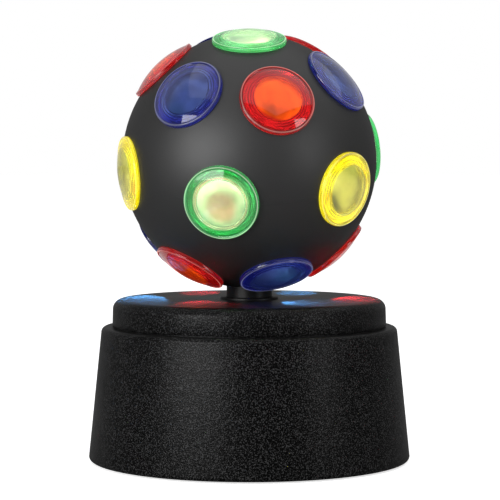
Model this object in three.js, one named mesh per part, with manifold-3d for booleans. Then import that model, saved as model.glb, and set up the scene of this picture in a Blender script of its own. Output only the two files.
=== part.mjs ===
// Disco lamp: a ball studded with coloured lenses turns on a neck above a round battery base.
// Units are millimetres, +Z is up, and the origin is the middle of the footprint on the table.
// The side that faces the viewer looks along -Y, and azimuths are counted from there towards +X.

import * as THREE from 'three';
import { mergeVertices } from 'three/addons/utils/BufferGeometryUtils.js';
import Module from 'manifold-3d';

const wasm = await Module();
wasm.setup();

// Clearances that the whole lamp shares
const fit = 0.3;
const cutRun = 2;
const mergeTolerance = 0.0003;

// Rounds: how many flats a curve is made of
const caseSides = 40;
const ballSides = 36;
const ballArcSteps = 8;
const ballInnerArcSteps = 5;
const lensSides = 16;
const tubeSides = 16;
const smallSides = 8;
const cornerSteps = 3;

// Base housing
const footStand = 0.6;
const rimRadius = 65;
const rimRound = 1.5;
const housingHeight = 53.8;
const shelfRadius = 59.9;
const shelfRound = 2;
const housingWall = 2.2;
const rimWall = 3;
const shelfWidth = 7.4;
const ledgeWidth = 1.7;
const ledgeHeight = 2.4;

// Top cover, the smaller step that carries the ball
const coverStep = 4.7;
const coverDraft = 0.2;
const coverHeight = 11.1;
const coverRound = 3.9;
const coverWall = 2.4;
const shadowGap = 0.5;
const shadowDepth = 0.8;
const lipWall = 1.6;
const lipDepth = 3;
const pillarRadius = 4;
const pillarInset = 3.1;
const pillarHoleDepth = 12;
const standoffRadius = 3.5;
const standoffInset = 5;
const standoffHoleDepth = 9;

// Ball and neck
const ballRadius = 51.3;
const ballWall = 2;
const ballGap = 4.4;
const ballTilt = THREE.MathUtils.degToRad(18.47);
const seamGap = 0.3;
const seamLipHeight = 2.5;
const seamLipWall = 1.5;
const seamLipRoot = 9;
const neckRadiusShare = 0.17934;
const neckStep = 1.2;
const neckWall = 1.7;
const neckEndBelowClip = 0.6;
const hubEndPlay = 0.15;

// Lenses: one on top and three rows of six
const lensRadiusShare = 0.28811;
const lensEdge = 2.1;
const lensDome = 2.7;
const lensShoulder = 2.1;
const lensFlangeWidth = 1.68;
const lensSpigotDepth = 2.4;
const lensSpigotWall = 1.2;
const lensThickness = 1.7;
const domeMidShare = 0.55;
const lensRowTurn = THREE.MathUtils.degToRad(17.7);
const lensRowAngle = THREE.MathUtils.degToRad(44.3);
const lensesInRow = 6;

// Neck bush, thrust washer and the clip that holds the ball gear on the neck
const bushWall = 0.9;
const bushFlangeWidth = 1;
const bushFlangeHeight = 0.9;
const bushBossWall = 3;
const bushLength = 9;
const hubBelowBush = 1.4;
const washerThickness = 1;
const washerWidth = 2.2;
const washerSeatHeight = 2;
const clipThickness = 0.8;
const clipWidth = 2;
const clipGrooveDepth = 0.7;
const clipOpening = THREE.MathUtils.degToRad(70);

// Gears
const gearModule = 0.9;
const gearAddendum = 0.72;
const gearDedendum = 1;
const pressureAngle = THREE.MathUtils.degToRad(20);
const toothThinning = 0.12;
const gearSpread = 0.1;
const ballGearTeeth = 42;
const pinionTeeth = 14;
const flankSteps = 2;
const gearFace = 5;
const pinionExtraFace = 0.4;
const gearHubHeight = 7;
const gearHubWall = 4.6;
const gearBelowHubTop = 1;

// Drive plate and geared motor
const drivePlateRadius = 38;
const drivePlateThickness = 3;
const motorRadius = 12;
const motorHeight = 12;
const motorShaftOffset = 5;
const motorEarReach = 15.5;
const motorEarWidth = 7;
const motorEarThickness = 1.6;
const motorStepRadius = 9;
const motorStepHeight = 2;
const shaftRadius = 1;
const shaftInMotor = 5;
const shaftAbovePinion = 0.6;

// Lamp post and light
const postRadius = 4.2;
const postWall = 1.4;
const postFlangeRadius = 8;
const postFlangeHeight = 2;
const ledBoardRadius = 9;
const ledBoardThickness = 1.6;
const ledRadius = 5;
const ledRimWidth = 0.8;
const ledRimHeight = 1;
const ledHeight = 8.6;
const ledTopBelowCentre = 0.2;

// Bottom plate, battery bay and feet
const plateRecess = 0.6;
const plateThickness = 3.4;
const bayWall = 1.6;
const cellRadius = 7.25;
const cellLength = 50.5;
const cellNubRadius = 2.7;
const cellNubHeight = 1;
const cellRound = 0.8;
const cellGap = 0.6;
const cellCount = 3;
const bayEndRoom = 3.75;
const contactThickness = 0.6;
const contactHeight = 11;
const contactPad = 0.8;
const contactPadRadius = 2.2;
const springBaseRadius = 5;
const springTipRadius = 3;
const footRadius = 6;
const footThickness = 1.8;
const footInset = 8;
const footRound = 0.4;
const footCount = 4;

// Battery door
const doorThickness = 2;
const doorLap = 1.3;
const rollRadius = 2.2;
const rollSetback = 4.2;
const doorEndLap = 2.5;
const pinRadius = 1.2;
const pinLength = 2.2;
const hoodWall = 1.6;
const tabHalfWidth = 5;
const tabLength = 7.5;
const doorScrewInset = 4;
const doorBossRadius = 4;
const doorBossHeight = 5.4;
const doorScrewRoom = 0.65;

// Screws
const screwRadius = 1.3;
const screwHeadRadius = 2.5;
const screwHeadHeight = 1.5;
const screwSlotWidth = 0.6;
const screwSlotDepth = 0.7;
const caseScrewLength = 13;
const driveScrewLength = 11;
const motorScrewLength = 4;
const doorScrewLength = 6;
const doorScrewHeadHeight = 1.1;
const screwHeadRoom = 0.4;

// Slide switch in the rear wall
const switchLevel = 26;
const pocketDepth = 2.4;
const pocketHalfWidth = 9;
const pocketHalfHeight = 5;
const padHalfWidth = 11.5;
const padHalfHeight = 7.5;
const padThickness = 3.2;
const knobTravel = 4;
const knobWidth = 8;
const knobHeight = 7;
const knobThickness = 3.2;
const knobStemWidth = 4;
const knobStemHeight = 3;
const knobStemLength = 7;
const knobRidge = 0.5;
const knobRidgeCount = 4;
const switchHalfWidth = 9.5;
const switchHalfHeight = 4.5;
const switchDepth = 7;
const switchWall = 2;
const switchSeatGap = 0.2;

// Leads inside the base
const leadRadius = 1;
const leadSides = 6;
const leadSteps = 14;

// Heights of the base, from the table up
const rimLevel = footStand;
const shelfLevel = rimLevel + housingHeight;
const coverTopLevel = shelfLevel + coverHeight;
const coverUnderLevel = coverTopLevel - coverWall;
const ballCentreLevel = coverTopLevel + ballGap + ballRadius;
const plateUnderLevel = rimLevel + plateRecess;
const plateTopLevel = plateUnderLevel + plateThickness;

// Radii of the base, from the rim and the shelf inwards
const plateRoomRadius = rimRadius - rimWall;
const ledgeRadius = plateRoomRadius - ledgeWidth;
const footReach = plateRoomRadius - footInset;
const coverRadius = shelfRadius - coverStep;
const shelfInnerRadius = shelfRadius - shelfWidth;
const coverLipRadius = shelfInnerRadius - fit;
const coverLipInnerRadius = coverLipRadius - lipWall;
const pillarReach = coverLipInnerRadius - pillarInset;
const standoffReach = drivePlateRadius - standoffInset;

// Heights of the drive, from the cover down
const bushTopLevel = coverTopLevel + bushFlangeHeight;
const bushBottomLevel = coverTopLevel - bushLength;
const hubTopLevel = bushBottomLevel - hubBelowBush;
const hubBottomLevel = hubTopLevel - gearHubHeight;
const gearTopLevel = hubTopLevel - gearBelowHubTop;
const washerSeatLevel = hubBottomLevel - washerThickness;
const drivePlateTopLevel = washerSeatLevel - washerSeatHeight;
const drivePlateUnderLevel = drivePlateTopLevel - drivePlateThickness;
const clipGrooveHeight = clipThickness + fit;
const neckEndLevel = hubBottomLevel - clipGrooveHeight - neckEndBelowClip;
const motorBottomLevel = drivePlateUnderLevel - motorHeight;

// Radii that follow from the ball and its neck
const lensRadius = ballRadius * lensRadiusShare;
const lensSpigotRadius = lensRadius - lensFlangeWidth;
const neckRadius = ballRadius * neckRadiusShare;
const neckEndRadius = neckRadius - neckStep;
const neckBoreRadius = neckEndRadius - neckWall;
const gearHubRadius = neckEndRadius + gearHubWall;
const bushBoreRadius = neckRadius + fit;
const bushRadius = bushBoreRadius + bushWall;
const coverHoleRadius = bushRadius + fit;
const screwHoleRadius = screwRadius + fit;

// Places of the gears: the pinion and its motor stand on the -X side of the ball's axis
const ballGearPitchRadius = ballGearTeeth * gearModule / 2;
const pinionPitchRadius = pinionTeeth * gearModule / 2;
const pinionX = -(ballGearPitchRadius + pinionPitchRadius + gearSpread);
const motorX = pinionX - motorShaftOffset;

// Battery bay: cells lie along Y, side by side along X, and the door closes them from below
const cellPitch = 2 * cellRadius + cellGap;
const bayHalfWidth = cellCount * cellPitch / 2 + fit;
const bayHalfLength = cellLength / 2 + bayEndRoom;
const doorInnerLevel = plateUnderLevel + doorThickness;
const cellLevel = doorInnerLevel + cellGap + cellRadius;
const bayRoofLevel = cellLevel + cellRadius + cellGap;
const bayTopLevel = bayRoofLevel + bayWall;
const doorHalfWidth = bayHalfWidth + doorLap;
const doorEndY = bayHalfLength + doorEndLap;
const rollY = -(bayHalfLength + rollSetback);
const rollLevel = plateUnderLevel + rollRadius;
const doorScrewY = doorEndY + tabLength - doorScrewInset;

// Lens seat: the flat in which a lens rim meets the sphere
const ballHeightAt = (radius) => Math.sqrt(ballRadius ** 2 - radius ** 2);
const lensSeatHeight = ballHeightAt(lensRadius);
const lensRows = [
  { row: 'top', count: 1, polar: 0, turn: 0, colours: ['green'] },
  {
    row: 'upper',
    count: lensesInRow,
    polar: lensRowAngle,
    turn: lensRowTurn,
    colours: ['red', 'blue'],
  },
  {
    row: 'middle',
    count: lensesInRow,
    polar: Math.PI / 2,
    turn: lensRowTurn + Math.PI / lensesInRow,
    colours: ['yellow', 'green'],
  },
  {
    row: 'lower',
    count: lensesInRow,
    polar: Math.PI - lensRowAngle,
    turn: lensRowTurn,
    colours: ['blue', 'red'],
  },
];

// Finishes
function finish(colour, roughness, metalness, opacity = 1) {
  const look = { color: colour, roughness, metalness, opacity, transparent: opacity < 1 };
  return () => new THREE.MeshStandardMaterial(look);
}
const finishes = {
  grainedCase: finish(0x17181a, 0.55, 0),
  ballBlack: finish(0x121213, 0.4, 0),
  innerPlastic: finish(0x2b2c2f, 0.6, 0),
  rubber: finish(0x1b1b1b, 0.9, 0),
  steel: finish(0xb9bcc0, 0.35, 1),
  brass: finish(0xc8a24a, 0.35, 1),
  whiteGear: finish(0xe9e7df, 0.5, 0),
  board: finish(0xe8ebe6, 0.6, 0),
  cellJacket: finish(0x8f9499, 0.4, 0.3),
  leadJacket: finish(0xa32020, 0.5, 0),
  glow: finish(0xfff6dc, 0.3, 0),
  red: finish(0xd8121a, 0.08, 0, 0.75),
  blue: finish(0x1b2fb4, 0.08, 0, 0.75),
  green: finish(0x1fae4c, 0.08, 0, 0.75),
  yellow: finish(0xf2e513, 0.08, 0, 0.75),
};

// A closed three.js shape becomes a solid once its shared corners are one
function solidOf(geometry) {
  const bare = geometry.index ? geometry.toNonIndexed() : geometry.clone();
  bare.deleteAttribute('normal');
  bare.deleteAttribute('uv');
  const merged = mergeVertices(bare, mergeTolerance);
  const corners = [];
  const index = merged.index.array;
  for (let start = 0; start < index.length; start += 3) {
    const [a, b, c] = index.slice(start, start + 3);
    if (a !== b && b !== c && c !== a) corners.push(a, b, c);
  }
  const mesh = new wasm.Mesh({
    numProp: 3,
    vertProperties: new Float32Array(merged.attributes.position.array),
    triVerts: new Uint32Array(corners),
  });
  return new wasm.Manifold(mesh);
}

function geometryOf(solid) {
  const mesh = solid.getMesh();
  const geometry = new THREE.BufferGeometry();
  geometry.setAttribute('position', new THREE.BufferAttribute(new Float32Array(mesh.vertProperties), 3));
  geometry.setIndex(new THREE.BufferAttribute(new Uint32Array(mesh.triVerts), 1));
  geometry.computeVertexNormals();
  return geometry;
}

// Profiles turned about the Z axis are lists of [radius, height], walked with the solid on the left
function turnedGeometry(profile, sides) {
  const points = profile.map(([radius, height]) => new THREE.Vector2(radius, height));
  const geometry = new THREE.LatheGeometry(points, sides);
  geometry.rotateX(Math.PI / 2);
  return geometry;
}

function turned(profile, sides) {
  return solidOf(turnedGeometry(profile, sides));
}

function ring(innerRadius, outerRadius, low, high, sides) {
  const corners = [[innerRadius, low], [outerRadius, low], [outerRadius, high], [innerRadius, high]];
  return turned([...corners, corners[0]], sides);
}

function rod(radius, low, high, sides) {
  return turned([[0, low], [radius, low], [radius, high], [0, high]], sides);
}

function block(lowX, highX, lowY, highY, lowZ, highZ) {
  const geometry = new THREE.BoxGeometry(highX - lowX, highY - lowY, highZ - lowZ);
  geometry.translate((lowX + highX) / 2, (lowY + highY) / 2, (lowZ + highZ) / 2);
  return solidOf(geometry);
}

function extruded(shape, low, high) {
  const geometry = new THREE.ExtrudeGeometry(shape, { depth: high - low, bevelEnabled: false });
  geometry.translate(0, 0, low);
  return solidOf(geometry);
}

function quarterRound(centreRadius, centreHeight, radius, startAngle, endAngle, steps) {
  const points = [];
  for (let step = 0; step <= steps; step += 1) {
    const angle = startAngle + (endAngle - startAngle) * step / steps;
    points.push([centreRadius + radius * Math.cos(angle), centreHeight + radius * Math.sin(angle)]);
  }
  return points;
}

function around(count, reach, startAngle) {
  const places = [];
  for (let k = 0; k < count; k += 1) {
    const angle = startAngle + 2 * Math.PI * k / count;
    places.push([reach * Math.cos(angle), reach * Math.sin(angle)]);
  }
  return places;
}

function joined(first, others) {
  return others.reduce((whole, piece) => whole.add(piece), first);
}

function cutBy(first, tools) {
  return tools.reduce((whole, tool) => whole.subtract(tool), first);
}

function at(solid, [x, y]) {
  return solid.translate([x, y, 0]);
}

// Places that several pieces share
const pillarPlaces = around(3, pillarReach, Math.PI / 6);
const standoffPlaces = around(3, standoffReach, 0);
const footPlaces = around(footCount, footReach, Math.PI / 4);
const motorEarPlaces = [[motorX, -motorEarReach], [motorX, motorEarReach]];

// Outer radius of the tapered housing at a height
function housingRadiusAt(level) {
  const share = (level - rimLevel) / housingHeight;
  return rimRadius + (shelfRadius - rimRadius) * share;
}

// Rear wall flat in which the switch knob slides
const pocketFloorY = housingRadiusAt(switchLevel) - pocketDepth;
const padInnerY = pocketFloorY - padThickness + fit;
const knobOffsetX = knobTravel / 2;

function housingShell() {
  const ledgeTop = plateTopLevel + ledgeHeight;
  const wallStart = ledgeTop + ledgeWidth;
  const underShelf = shelfLevel - housingWall;
  const rimCorner = quarterRound(
    rimRadius - rimRound, rimLevel + rimRound, rimRound, -Math.PI / 2, 0, cornerSteps);
  const shelfCorner = quarterRound(
    shelfRadius - shelfRound, shelfLevel - shelfRound, shelfRound, 0, Math.PI / 2, cornerSteps);
  const profile = [
    [plateRoomRadius, rimLevel],
    ...rimCorner,
    ...shelfCorner,
    [shelfInnerRadius, shelfLevel],
    [shelfInnerRadius, underShelf],
    [housingRadiusAt(underShelf) - housingWall, underShelf],
    [housingRadiusAt(wallStart) - housingWall, wallStart],
    [ledgeRadius, ledgeTop],
    [ledgeRadius, plateTopLevel],
    [plateRoomRadius, plateTopLevel],
    [plateRoomRadius, rimLevel],
  ];
  return turned(profile, caseSides);
}

function baseHousing() {
  const pad = block(
    -padHalfWidth, padHalfWidth, padInnerY, pocketFloorY + fit,
    switchLevel - padHalfHeight, switchLevel + padHalfHeight);
  const pocket = block(
    -pocketHalfWidth, pocketHalfWidth, pocketFloorY, Math.max(rimRadius, shelfRadius) + cutRun,
    switchLevel - pocketHalfHeight, switchLevel + pocketHalfHeight);
  const slotHalfWidth = (knobStemWidth + knobTravel) / 2 + fit;
  const slotHalfHeight = knobStemHeight / 2 + fit;
  const slot = block(
    -slotHalfWidth, slotHalfWidth, padInnerY - cutRun, pocketFloorY + cutRun,
    switchLevel - slotHalfHeight, switchLevel + slotHalfHeight);
  const pillarRooms = pillarPlaces.map((place) => at(
    rod(pillarRadius + fit, plateTopLevel - cutRun, shelfLevel - housingWall, tubeSides), place));
  return cutBy(housingShell().add(pad), [pocket, slot, ...pillarRooms]);
}

function topCover() {
  const skirtRadius = coverRadius + coverDraft;
  const skirtInnerRadius = coverRadius - coverWall;
  const innerRound = coverRound - coverWall;
  const lipTop = shelfLevel + lipWall;
  const bossRadius = coverHoleRadius + bushBossWall;
  const bossBottom = bushBottomLevel + shadowGap;
  const profile = [
    [coverHoleRadius, bossBottom],
    [bossRadius, bossBottom],
    [bossRadius, coverUnderLevel],
    ...quarterRound(
      skirtInnerRadius - innerRound, coverUnderLevel - innerRound, innerRound, Math.PI / 2, 0, 1),
    [skirtInnerRadius, lipTop + lipWall],
    [coverLipInnerRadius, lipTop],
    [coverLipInnerRadius, shelfLevel - lipDepth],
    [coverLipRadius, shelfLevel - lipDepth],
    [coverLipRadius, shelfLevel],
    [skirtRadius - shadowDepth, shelfLevel],
    [skirtRadius - shadowDepth, shelfLevel + shadowGap],
    [skirtRadius, shelfLevel + shadowGap],
    ...quarterRound(
      coverRadius - coverRound, coverTopLevel - coverRound, coverRound, 0, Math.PI / 2, cornerSteps),
    [coverHoleRadius, coverTopLevel],
    [coverHoleRadius, bossBottom],
  ];
  const shell = turned(profile, caseSides);
  const intoRoof = coverUnderLevel + coverWall / 2;
  const pillars = pillarPlaces.map(
    (place) => at(rod(pillarRadius, plateTopLevel, intoRoof, tubeSides), place));
  const standoffs = standoffPlaces.map(
    (place) => at(rod(standoffRadius, drivePlateTopLevel, intoRoof, tubeSides), place));
  const pillarHoles = pillarPlaces.map((place) => at(
    rod(screwHoleRadius, plateTopLevel - cutRun, plateTopLevel + pillarHoleDepth, smallSides), place));
  const standoffHoles = standoffPlaces.map((place) => at(
    rod(screwHoleRadius, drivePlateTopLevel - cutRun, drivePlateTopLevel + standoffHoleDepth, smallSides),
    place));
  return cutBy(joined(shell, [...pillars, ...standoffs]), [...pillarHoles, ...standoffHoles]);
}

function plateDisc() {
  return rod(plateRoomRadius - fit, plateUnderLevel, plateTopLevel, caseSides);
}

function bottomPlate() {
  const below = plateUnderLevel - cutRun;
  const inPlate = plateTopLevel - fit;
  const bayBox = block(
    -bayHalfWidth - bayWall, bayHalfWidth + bayWall, -bayHalfLength - bayWall, bayHalfLength + bayWall,
    inPlate, bayTopLevel);
  const hoodTop = rollLevel + rollRadius + fit + hoodWall;
  const hoodHalfWidth = doorHalfWidth + pinLength + hoodWall;
  const hood = block(
    -hoodHalfWidth, hoodHalfWidth, rollY - rollRadius - fit - hoodWall, -bayHalfLength, inPlate, hoodTop);
  const doorBoss = at(
    rod(doorBossRadius, inPlate, plateTopLevel + doorBossHeight, tubeSides), [0, doorScrewY]);
  const bay = block(-bayHalfWidth, bayHalfWidth, -bayHalfLength, bayHalfLength, below, bayRoofLevel);
  const doorRoom = block(
    -doorHalfWidth - fit, doorHalfWidth + fit, rollY, doorEndY + fit, below, doorInnerLevel + fit);
  const tabRoom = block(
    -tabHalfWidth - fit, tabHalfWidth + fit, doorEndY, doorEndY + tabLength + fit, below,
    doorInnerLevel + fit);
  const rollRoom = block(
    -doorHalfWidth - fit, doorHalfWidth + fit, rollY - rollRadius - fit, rollY + rollRadius + fit, below,
    rollLevel + rollRadius + fit);
  const pinReach = doorHalfWidth + pinLength + fit;
  const pinHole = rod(pinRadius + fit, -pinReach, pinReach, smallSides)
    .rotate([0, 90, 0])
    .translate([0, rollY, rollLevel]);
  const doorScrewHole = at(
    rod(screwRadius + doorScrewRoom, below, plateTopLevel + doorBossHeight + cutRun, smallSides),
    [0, doorScrewY]);
  const screwHoles = pillarPlaces.map(
    (place) => at(rod(screwHoleRadius, below, plateTopLevel + cutRun, smallSides), place));
  const headRoomTop = plateUnderLevel + screwHeadHeight + screwHeadRoom;
  const headRooms = pillarPlaces.map(
    (place) => at(rod(screwHeadRadius + screwHeadRoom, below, headRoomTop, tubeSides), place));
  const footRooms = footPlaces.map(
    (place) => at(rod(footRadius + fit, below, footThickness, tubeSides), place));
  const leadHole = rod(leadRadius + fit, bayHalfLength - cutRun, bayHalfLength + 2 * cutRun, smallSides)
    .rotate([-90, 0, 0])
    .translate([cellPitch, 0, bayRoofLevel - cellRadius]);
  const raised = joined(plateDisc(), [bayBox, hood, doorBoss]);
  return cutBy(raised, [
    bay, doorRoom, tabRoom, rollRoom, pinHole, doorScrewHole, leadHole, ...screwHoles, ...headRooms,
    ...footRooms,
  ]);
}

function batteryDoor() {
  const panel = block(
    -doorHalfWidth, doorHalfWidth, rollY, doorEndY, plateUnderLevel, doorInnerLevel);
  const tab = block(
    -tabHalfWidth, tabHalfWidth, doorEndY - fit, doorEndY + tabLength, plateUnderLevel, doorInnerLevel);
  const roll = rod(rollRadius, -doorHalfWidth, doorHalfWidth, tubeSides)
    .rotate([0, 90, 0])
    .translate([0, rollY, rollLevel]);
  const pinReach = doorHalfWidth + pinLength;
  const pin = rod(pinRadius, -pinReach, pinReach, smallSides)
    .rotate([0, 90, 0])
    .translate([0, rollY, rollLevel]);
  const below = plateUnderLevel - cutRun;
  const screwHole = at(
    rod(screwHoleRadius, below, doorInnerLevel + cutRun, smallSides), [0, doorScrewY]);
  const headRoom = at(
    rod(screwHeadRadius + screwHeadRoom, below, plateUnderLevel + doorScrewHeadHeight, tubeSides),
    [0, doorScrewY]);
  return cutBy(joined(panel, [tab, roll, pin]), [screwHole, headRoom]);
}

// A screw stands head down with its head's lower face at zero
function screw(headHeight, length) {
  const profile = [
    [0, 0],
    [screwHeadRadius, 0],
    [screwHeadRadius, headHeight],
    [screwRadius, headHeight],
    [screwRadius, headHeight + length],
    [0, headHeight + length],
  ];
  const reach = screwHeadRadius + cutRun;
  const depth = Math.min(screwSlotDepth, headHeight / 2);
  const half = screwSlotWidth / 2;
  return turned(profile, smallSides).subtract(block(-reach, reach, -half, half, -cutRun, depth));
}

function foot() {
  return turned([
    [0, 0],
    [footRadius - footRound, 0],
    [footRadius, footRound],
    [footRadius, footThickness],
    [0, footThickness],
  ], tubeSides);
}

// A cell lies along Y with its flat end at zero and its nub at the full length
function cell() {
  const shoulder = cellLength - cellNubHeight;
  return turned([
    [0, 0],
    [cellRadius, 0],
    [cellRadius, shoulder - cellRound],
    [cellRadius - cellRound, shoulder],
    [cellNubRadius, shoulder],
    [cellNubRadius, cellLength],
    [0, cellLength],
  ], tubeSides).rotate([-90, 0, 0]);
}

// Where the cells and their contacts lie along Y
const contactInnerY = bayHalfLength - fit - contactThickness;
const nubTipY = contactInnerY - contactPad - fit;
const springLength = contactInnerY + nubTipY - cellLength - fit;

function cellX(number) {
  return (number - (cellCount - 1) / 2) * cellPitch;
}

function nubFacesRear(number) {
  return number % 2 === 0;
}

// One contact stands at the rear wall (side 1) or the front wall (side -1) of the bay
function contact(cells, side) {
  const placeX = (number) => side * cellX(number);
  const first = Math.min(...cells.map(placeX));
  const last = Math.max(...cells.map(placeX));
  const margin = cellRadius - cellGap;
  const levels = [cellLevel - contactHeight / 2, cellLevel + contactHeight / 2];
  const strip = block(
    first - margin, last + margin, contactInnerY, contactInnerY + contactThickness, ...levels);
  const touches = cells.map((number) => {
    const meetsNub = nubFacesRear(number) === (side > 0);
    const length = meetsNub ? contactPad : springLength;
    const profile = meetsNub
      ? [[0, -fit], [contactPadRadius, -fit], [contactPadRadius, length], [0, length]]
      : [[0, -fit], [springBaseRadius, -fit], [springTipRadius, length], [0, length]];
    return turned(profile, smallSides + 2)
      .rotate([90, 0, 0])
      .translate([placeX(number), contactInnerY, cellLevel]);
  });
  const whole = joined(strip, touches);
  return side > 0 ? whole : whole.rotate([0, 0, 180]);
}

function switchBody() {
  const faceY = padInnerY - switchSeatGap;
  const backY = faceY - switchDepth;
  const caseBlock = block(
    -switchHalfWidth, switchHalfWidth, backY, faceY,
    switchLevel - switchHalfHeight, switchLevel + switchHalfHeight);
  const roomHalfWidth = (knobStemWidth + knobTravel) / 2 + fit;
  const roomHalfHeight = knobStemHeight / 2 + fit;
  const room = block(
    -roomHalfWidth, roomHalfWidth, backY + switchWall, faceY + cutRun,
    switchLevel - roomHalfHeight, switchLevel + roomHalfHeight);
  return caseBlock.subtract(room);
}

function switchKnob() {
  const innerY = pocketFloorY + fit;
  const head = block(
    knobOffsetX - knobWidth / 2, knobOffsetX + knobWidth / 2, innerY, innerY + knobThickness,
    switchLevel - knobHeight / 2, switchLevel + knobHeight / 2);
  const stem = block(
    knobOffsetX - knobStemWidth / 2, knobOffsetX + knobStemWidth / 2, innerY - knobStemLength, innerY + fit,
    switchLevel - knobStemHeight / 2, switchLevel + knobStemHeight / 2);
  const grooves = [];
  const pitch = knobWidth / (knobRidgeCount + 1);
  for (let k = 1; k <= knobRidgeCount; k += 1) {
    const x = knobOffsetX - knobWidth / 2 + k * pitch;
    grooves.push(block(
      x - knobRidge / 2, x + knobRidge / 2, innerY + knobThickness - knobRidge, innerY + 2 * knobThickness,
      switchLevel - knobHeight, switchLevel + knobHeight));
  }
  return cutBy(head.add(stem), grooves);
}

// Involute spur gear outline with one tooth centred on the given angle
function gearOutline(teeth, toothAngle) {
  const pitchRadius = teeth * gearModule / 2;
  const baseRadius = pitchRadius * Math.cos(pressureAngle);
  const rootRadius = pitchRadius - gearDedendum;
  const tipRadius = pitchRadius + gearAddendum;
  const involute = (angle) => Math.tan(angle) - angle;
  const halfAtPitch = Math.PI / (2 * teeth) - toothThinning / (2 * pitchRadius);
  const halfAngleAt = (radius) => {
    const onFlank = Math.max(radius, baseRadius);
    return halfAtPitch + involute(pressureAngle) - involute(Math.acos(baseRadius / onFlank));
  };
  const flankStart = Math.max(rootRadius, baseRadius);
  const flankRadii = flankStart > rootRadius ? [rootRadius] : [];
  for (let step = 0; step <= flankSteps; step += 1) {
    flankRadii.push(flankStart + (tipRadius - flankStart) * step / flankSteps);
  }
  const points = [];
  for (let tooth = 0; tooth < teeth; tooth += 1) {
    const centre = toothAngle + 2 * Math.PI * tooth / teeth;
    const rising = flankRadii.map((radius) => [radius, centre - halfAngleAt(radius)]);
    const falling = flankRadii.map((radius) => [radius, centre + halfAngleAt(radius)]).reverse();
    for (const [radius, angle] of [...rising, ...falling]) {
      points.push(new THREE.Vector2(radius * Math.cos(angle), radius * Math.sin(angle)));
    }
  }
  return new THREE.Shape(points);
}

function ballGear() {
  const gapTowardsPinion = Math.PI + Math.PI / ballGearTeeth;
  const outline = gearOutline(ballGearTeeth, gapTowardsPinion);
  const toothed = extruded(outline, gearTopLevel - gearFace, gearTopLevel);
  const hub = rod(gearHubRadius, hubBottomLevel, hubTopLevel, tubeSides + smallSides);
  const bore = rod(neckEndRadius + fit, hubBottomLevel - cutRun, hubTopLevel + cutRun, tubeSides);
  return toothed.add(hub).subtract(bore);
}

function drivePinion() {
  const low = gearTopLevel - gearFace - pinionExtraFace / 2;
  const high = gearTopLevel + pinionExtraFace / 2;
  const bore = rod(shaftRadius + fit, low - cutRun, high + cutRun, smallSides);
  return at(extruded(gearOutline(pinionTeeth, 0), low, high).subtract(bore), [pinionX, 0]);
}

function motorShaft() {
  const low = drivePlateUnderLevel - shaftInMotor;
  const high = gearTopLevel + pinionExtraFace / 2 + shaftAbovePinion;
  return at(rod(shaftRadius, low, high, smallSides), [pinionX, 0]);
}

function gearMotor() {
  const can = turned([
    [0, motorBottomLevel],
    [motorStepRadius, motorBottomLevel],
    [motorStepRadius, motorBottomLevel + motorStepHeight],
    [motorRadius, motorBottomLevel + motorStepHeight],
    [motorRadius, drivePlateUnderLevel],
    [0, drivePlateUnderLevel],
  ], tubeSides + smallSides);
  const earLow = drivePlateUnderLevel - motorEarThickness;
  const ears = block(
    -motorEarWidth / 2, motorEarWidth / 2, -motorEarReach, motorEarReach, earLow, drivePlateUnderLevel);
  const whole = [-motorEarReach, motorEarReach].reduce(
    (piece, y) => piece.add(at(rod(motorEarWidth / 2, earLow, drivePlateUnderLevel, tubeSides), [0, y])),
    can.add(ears));
  const placed = at(whole, [motorX, 0]);
  const holes = motorEarPlaces.map((place) => at(
    rod(screwHoleRadius, earLow - cutRun, drivePlateUnderLevel + cutRun, smallSides), place));
  const shaftRoomLow = drivePlateUnderLevel - shaftInMotor - fit;
  const shaftRoom = at(
    rod(shaftRadius + fit, shaftRoomLow, drivePlateUnderLevel + cutRun, smallSides), [pinionX, 0]);
  return cutBy(placed, [...holes, shaftRoom]);
}

function drivePlate() {
  const seatInner = neckEndRadius + clipWidth;
  const seatOuter = gearHubRadius + fit;
  const postHole = postRadius + fit;
  const disc = turned([
    [postHole, drivePlateUnderLevel],
    [drivePlateRadius, drivePlateUnderLevel],
    [drivePlateRadius, drivePlateTopLevel],
    [seatOuter, drivePlateTopLevel],
    [seatOuter, washerSeatLevel],
    [seatInner, washerSeatLevel],
    [seatInner, drivePlateTopLevel],
    [postHole, drivePlateTopLevel],
    [postHole, drivePlateUnderLevel],
  ], tubeSides + smallSides);
  const through = (radius, place) => at(
    rod(radius, drivePlateUnderLevel - cutRun, drivePlateTopLevel + cutRun, smallSides), place);
  const holes = [...standoffPlaces, ...motorEarPlaces].map((place) => through(screwHoleRadius, place));
  const pillarRooms = pillarPlaces.map((place) => through(pillarRadius + fit, place));
  return cutBy(disc, [...holes, ...pillarRooms, through(2 * shaftRadius + fit, [pinionX, 0])]);
}

function neckBush() {
  const flangeRadius = coverHoleRadius + bushFlangeWidth;
  return turned([
    [bushBoreRadius, bushBottomLevel],
    [bushRadius, bushBottomLevel],
    [bushRadius, coverTopLevel],
    [flangeRadius, coverTopLevel],
    [flangeRadius, coverTopLevel + bushFlangeHeight / 2],
    [flangeRadius - bushFlangeHeight / 2, bushTopLevel],
    [bushBoreRadius, bushTopLevel],
    [bushBoreRadius, bushBottomLevel],
  ], tubeSides + smallSides);
}

function thrustWasher() {
  const outer = gearHubRadius - fit;
  return ring(outer - washerWidth, outer, washerSeatLevel, hubBottomLevel, tubeSides + smallSides);
}

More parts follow.
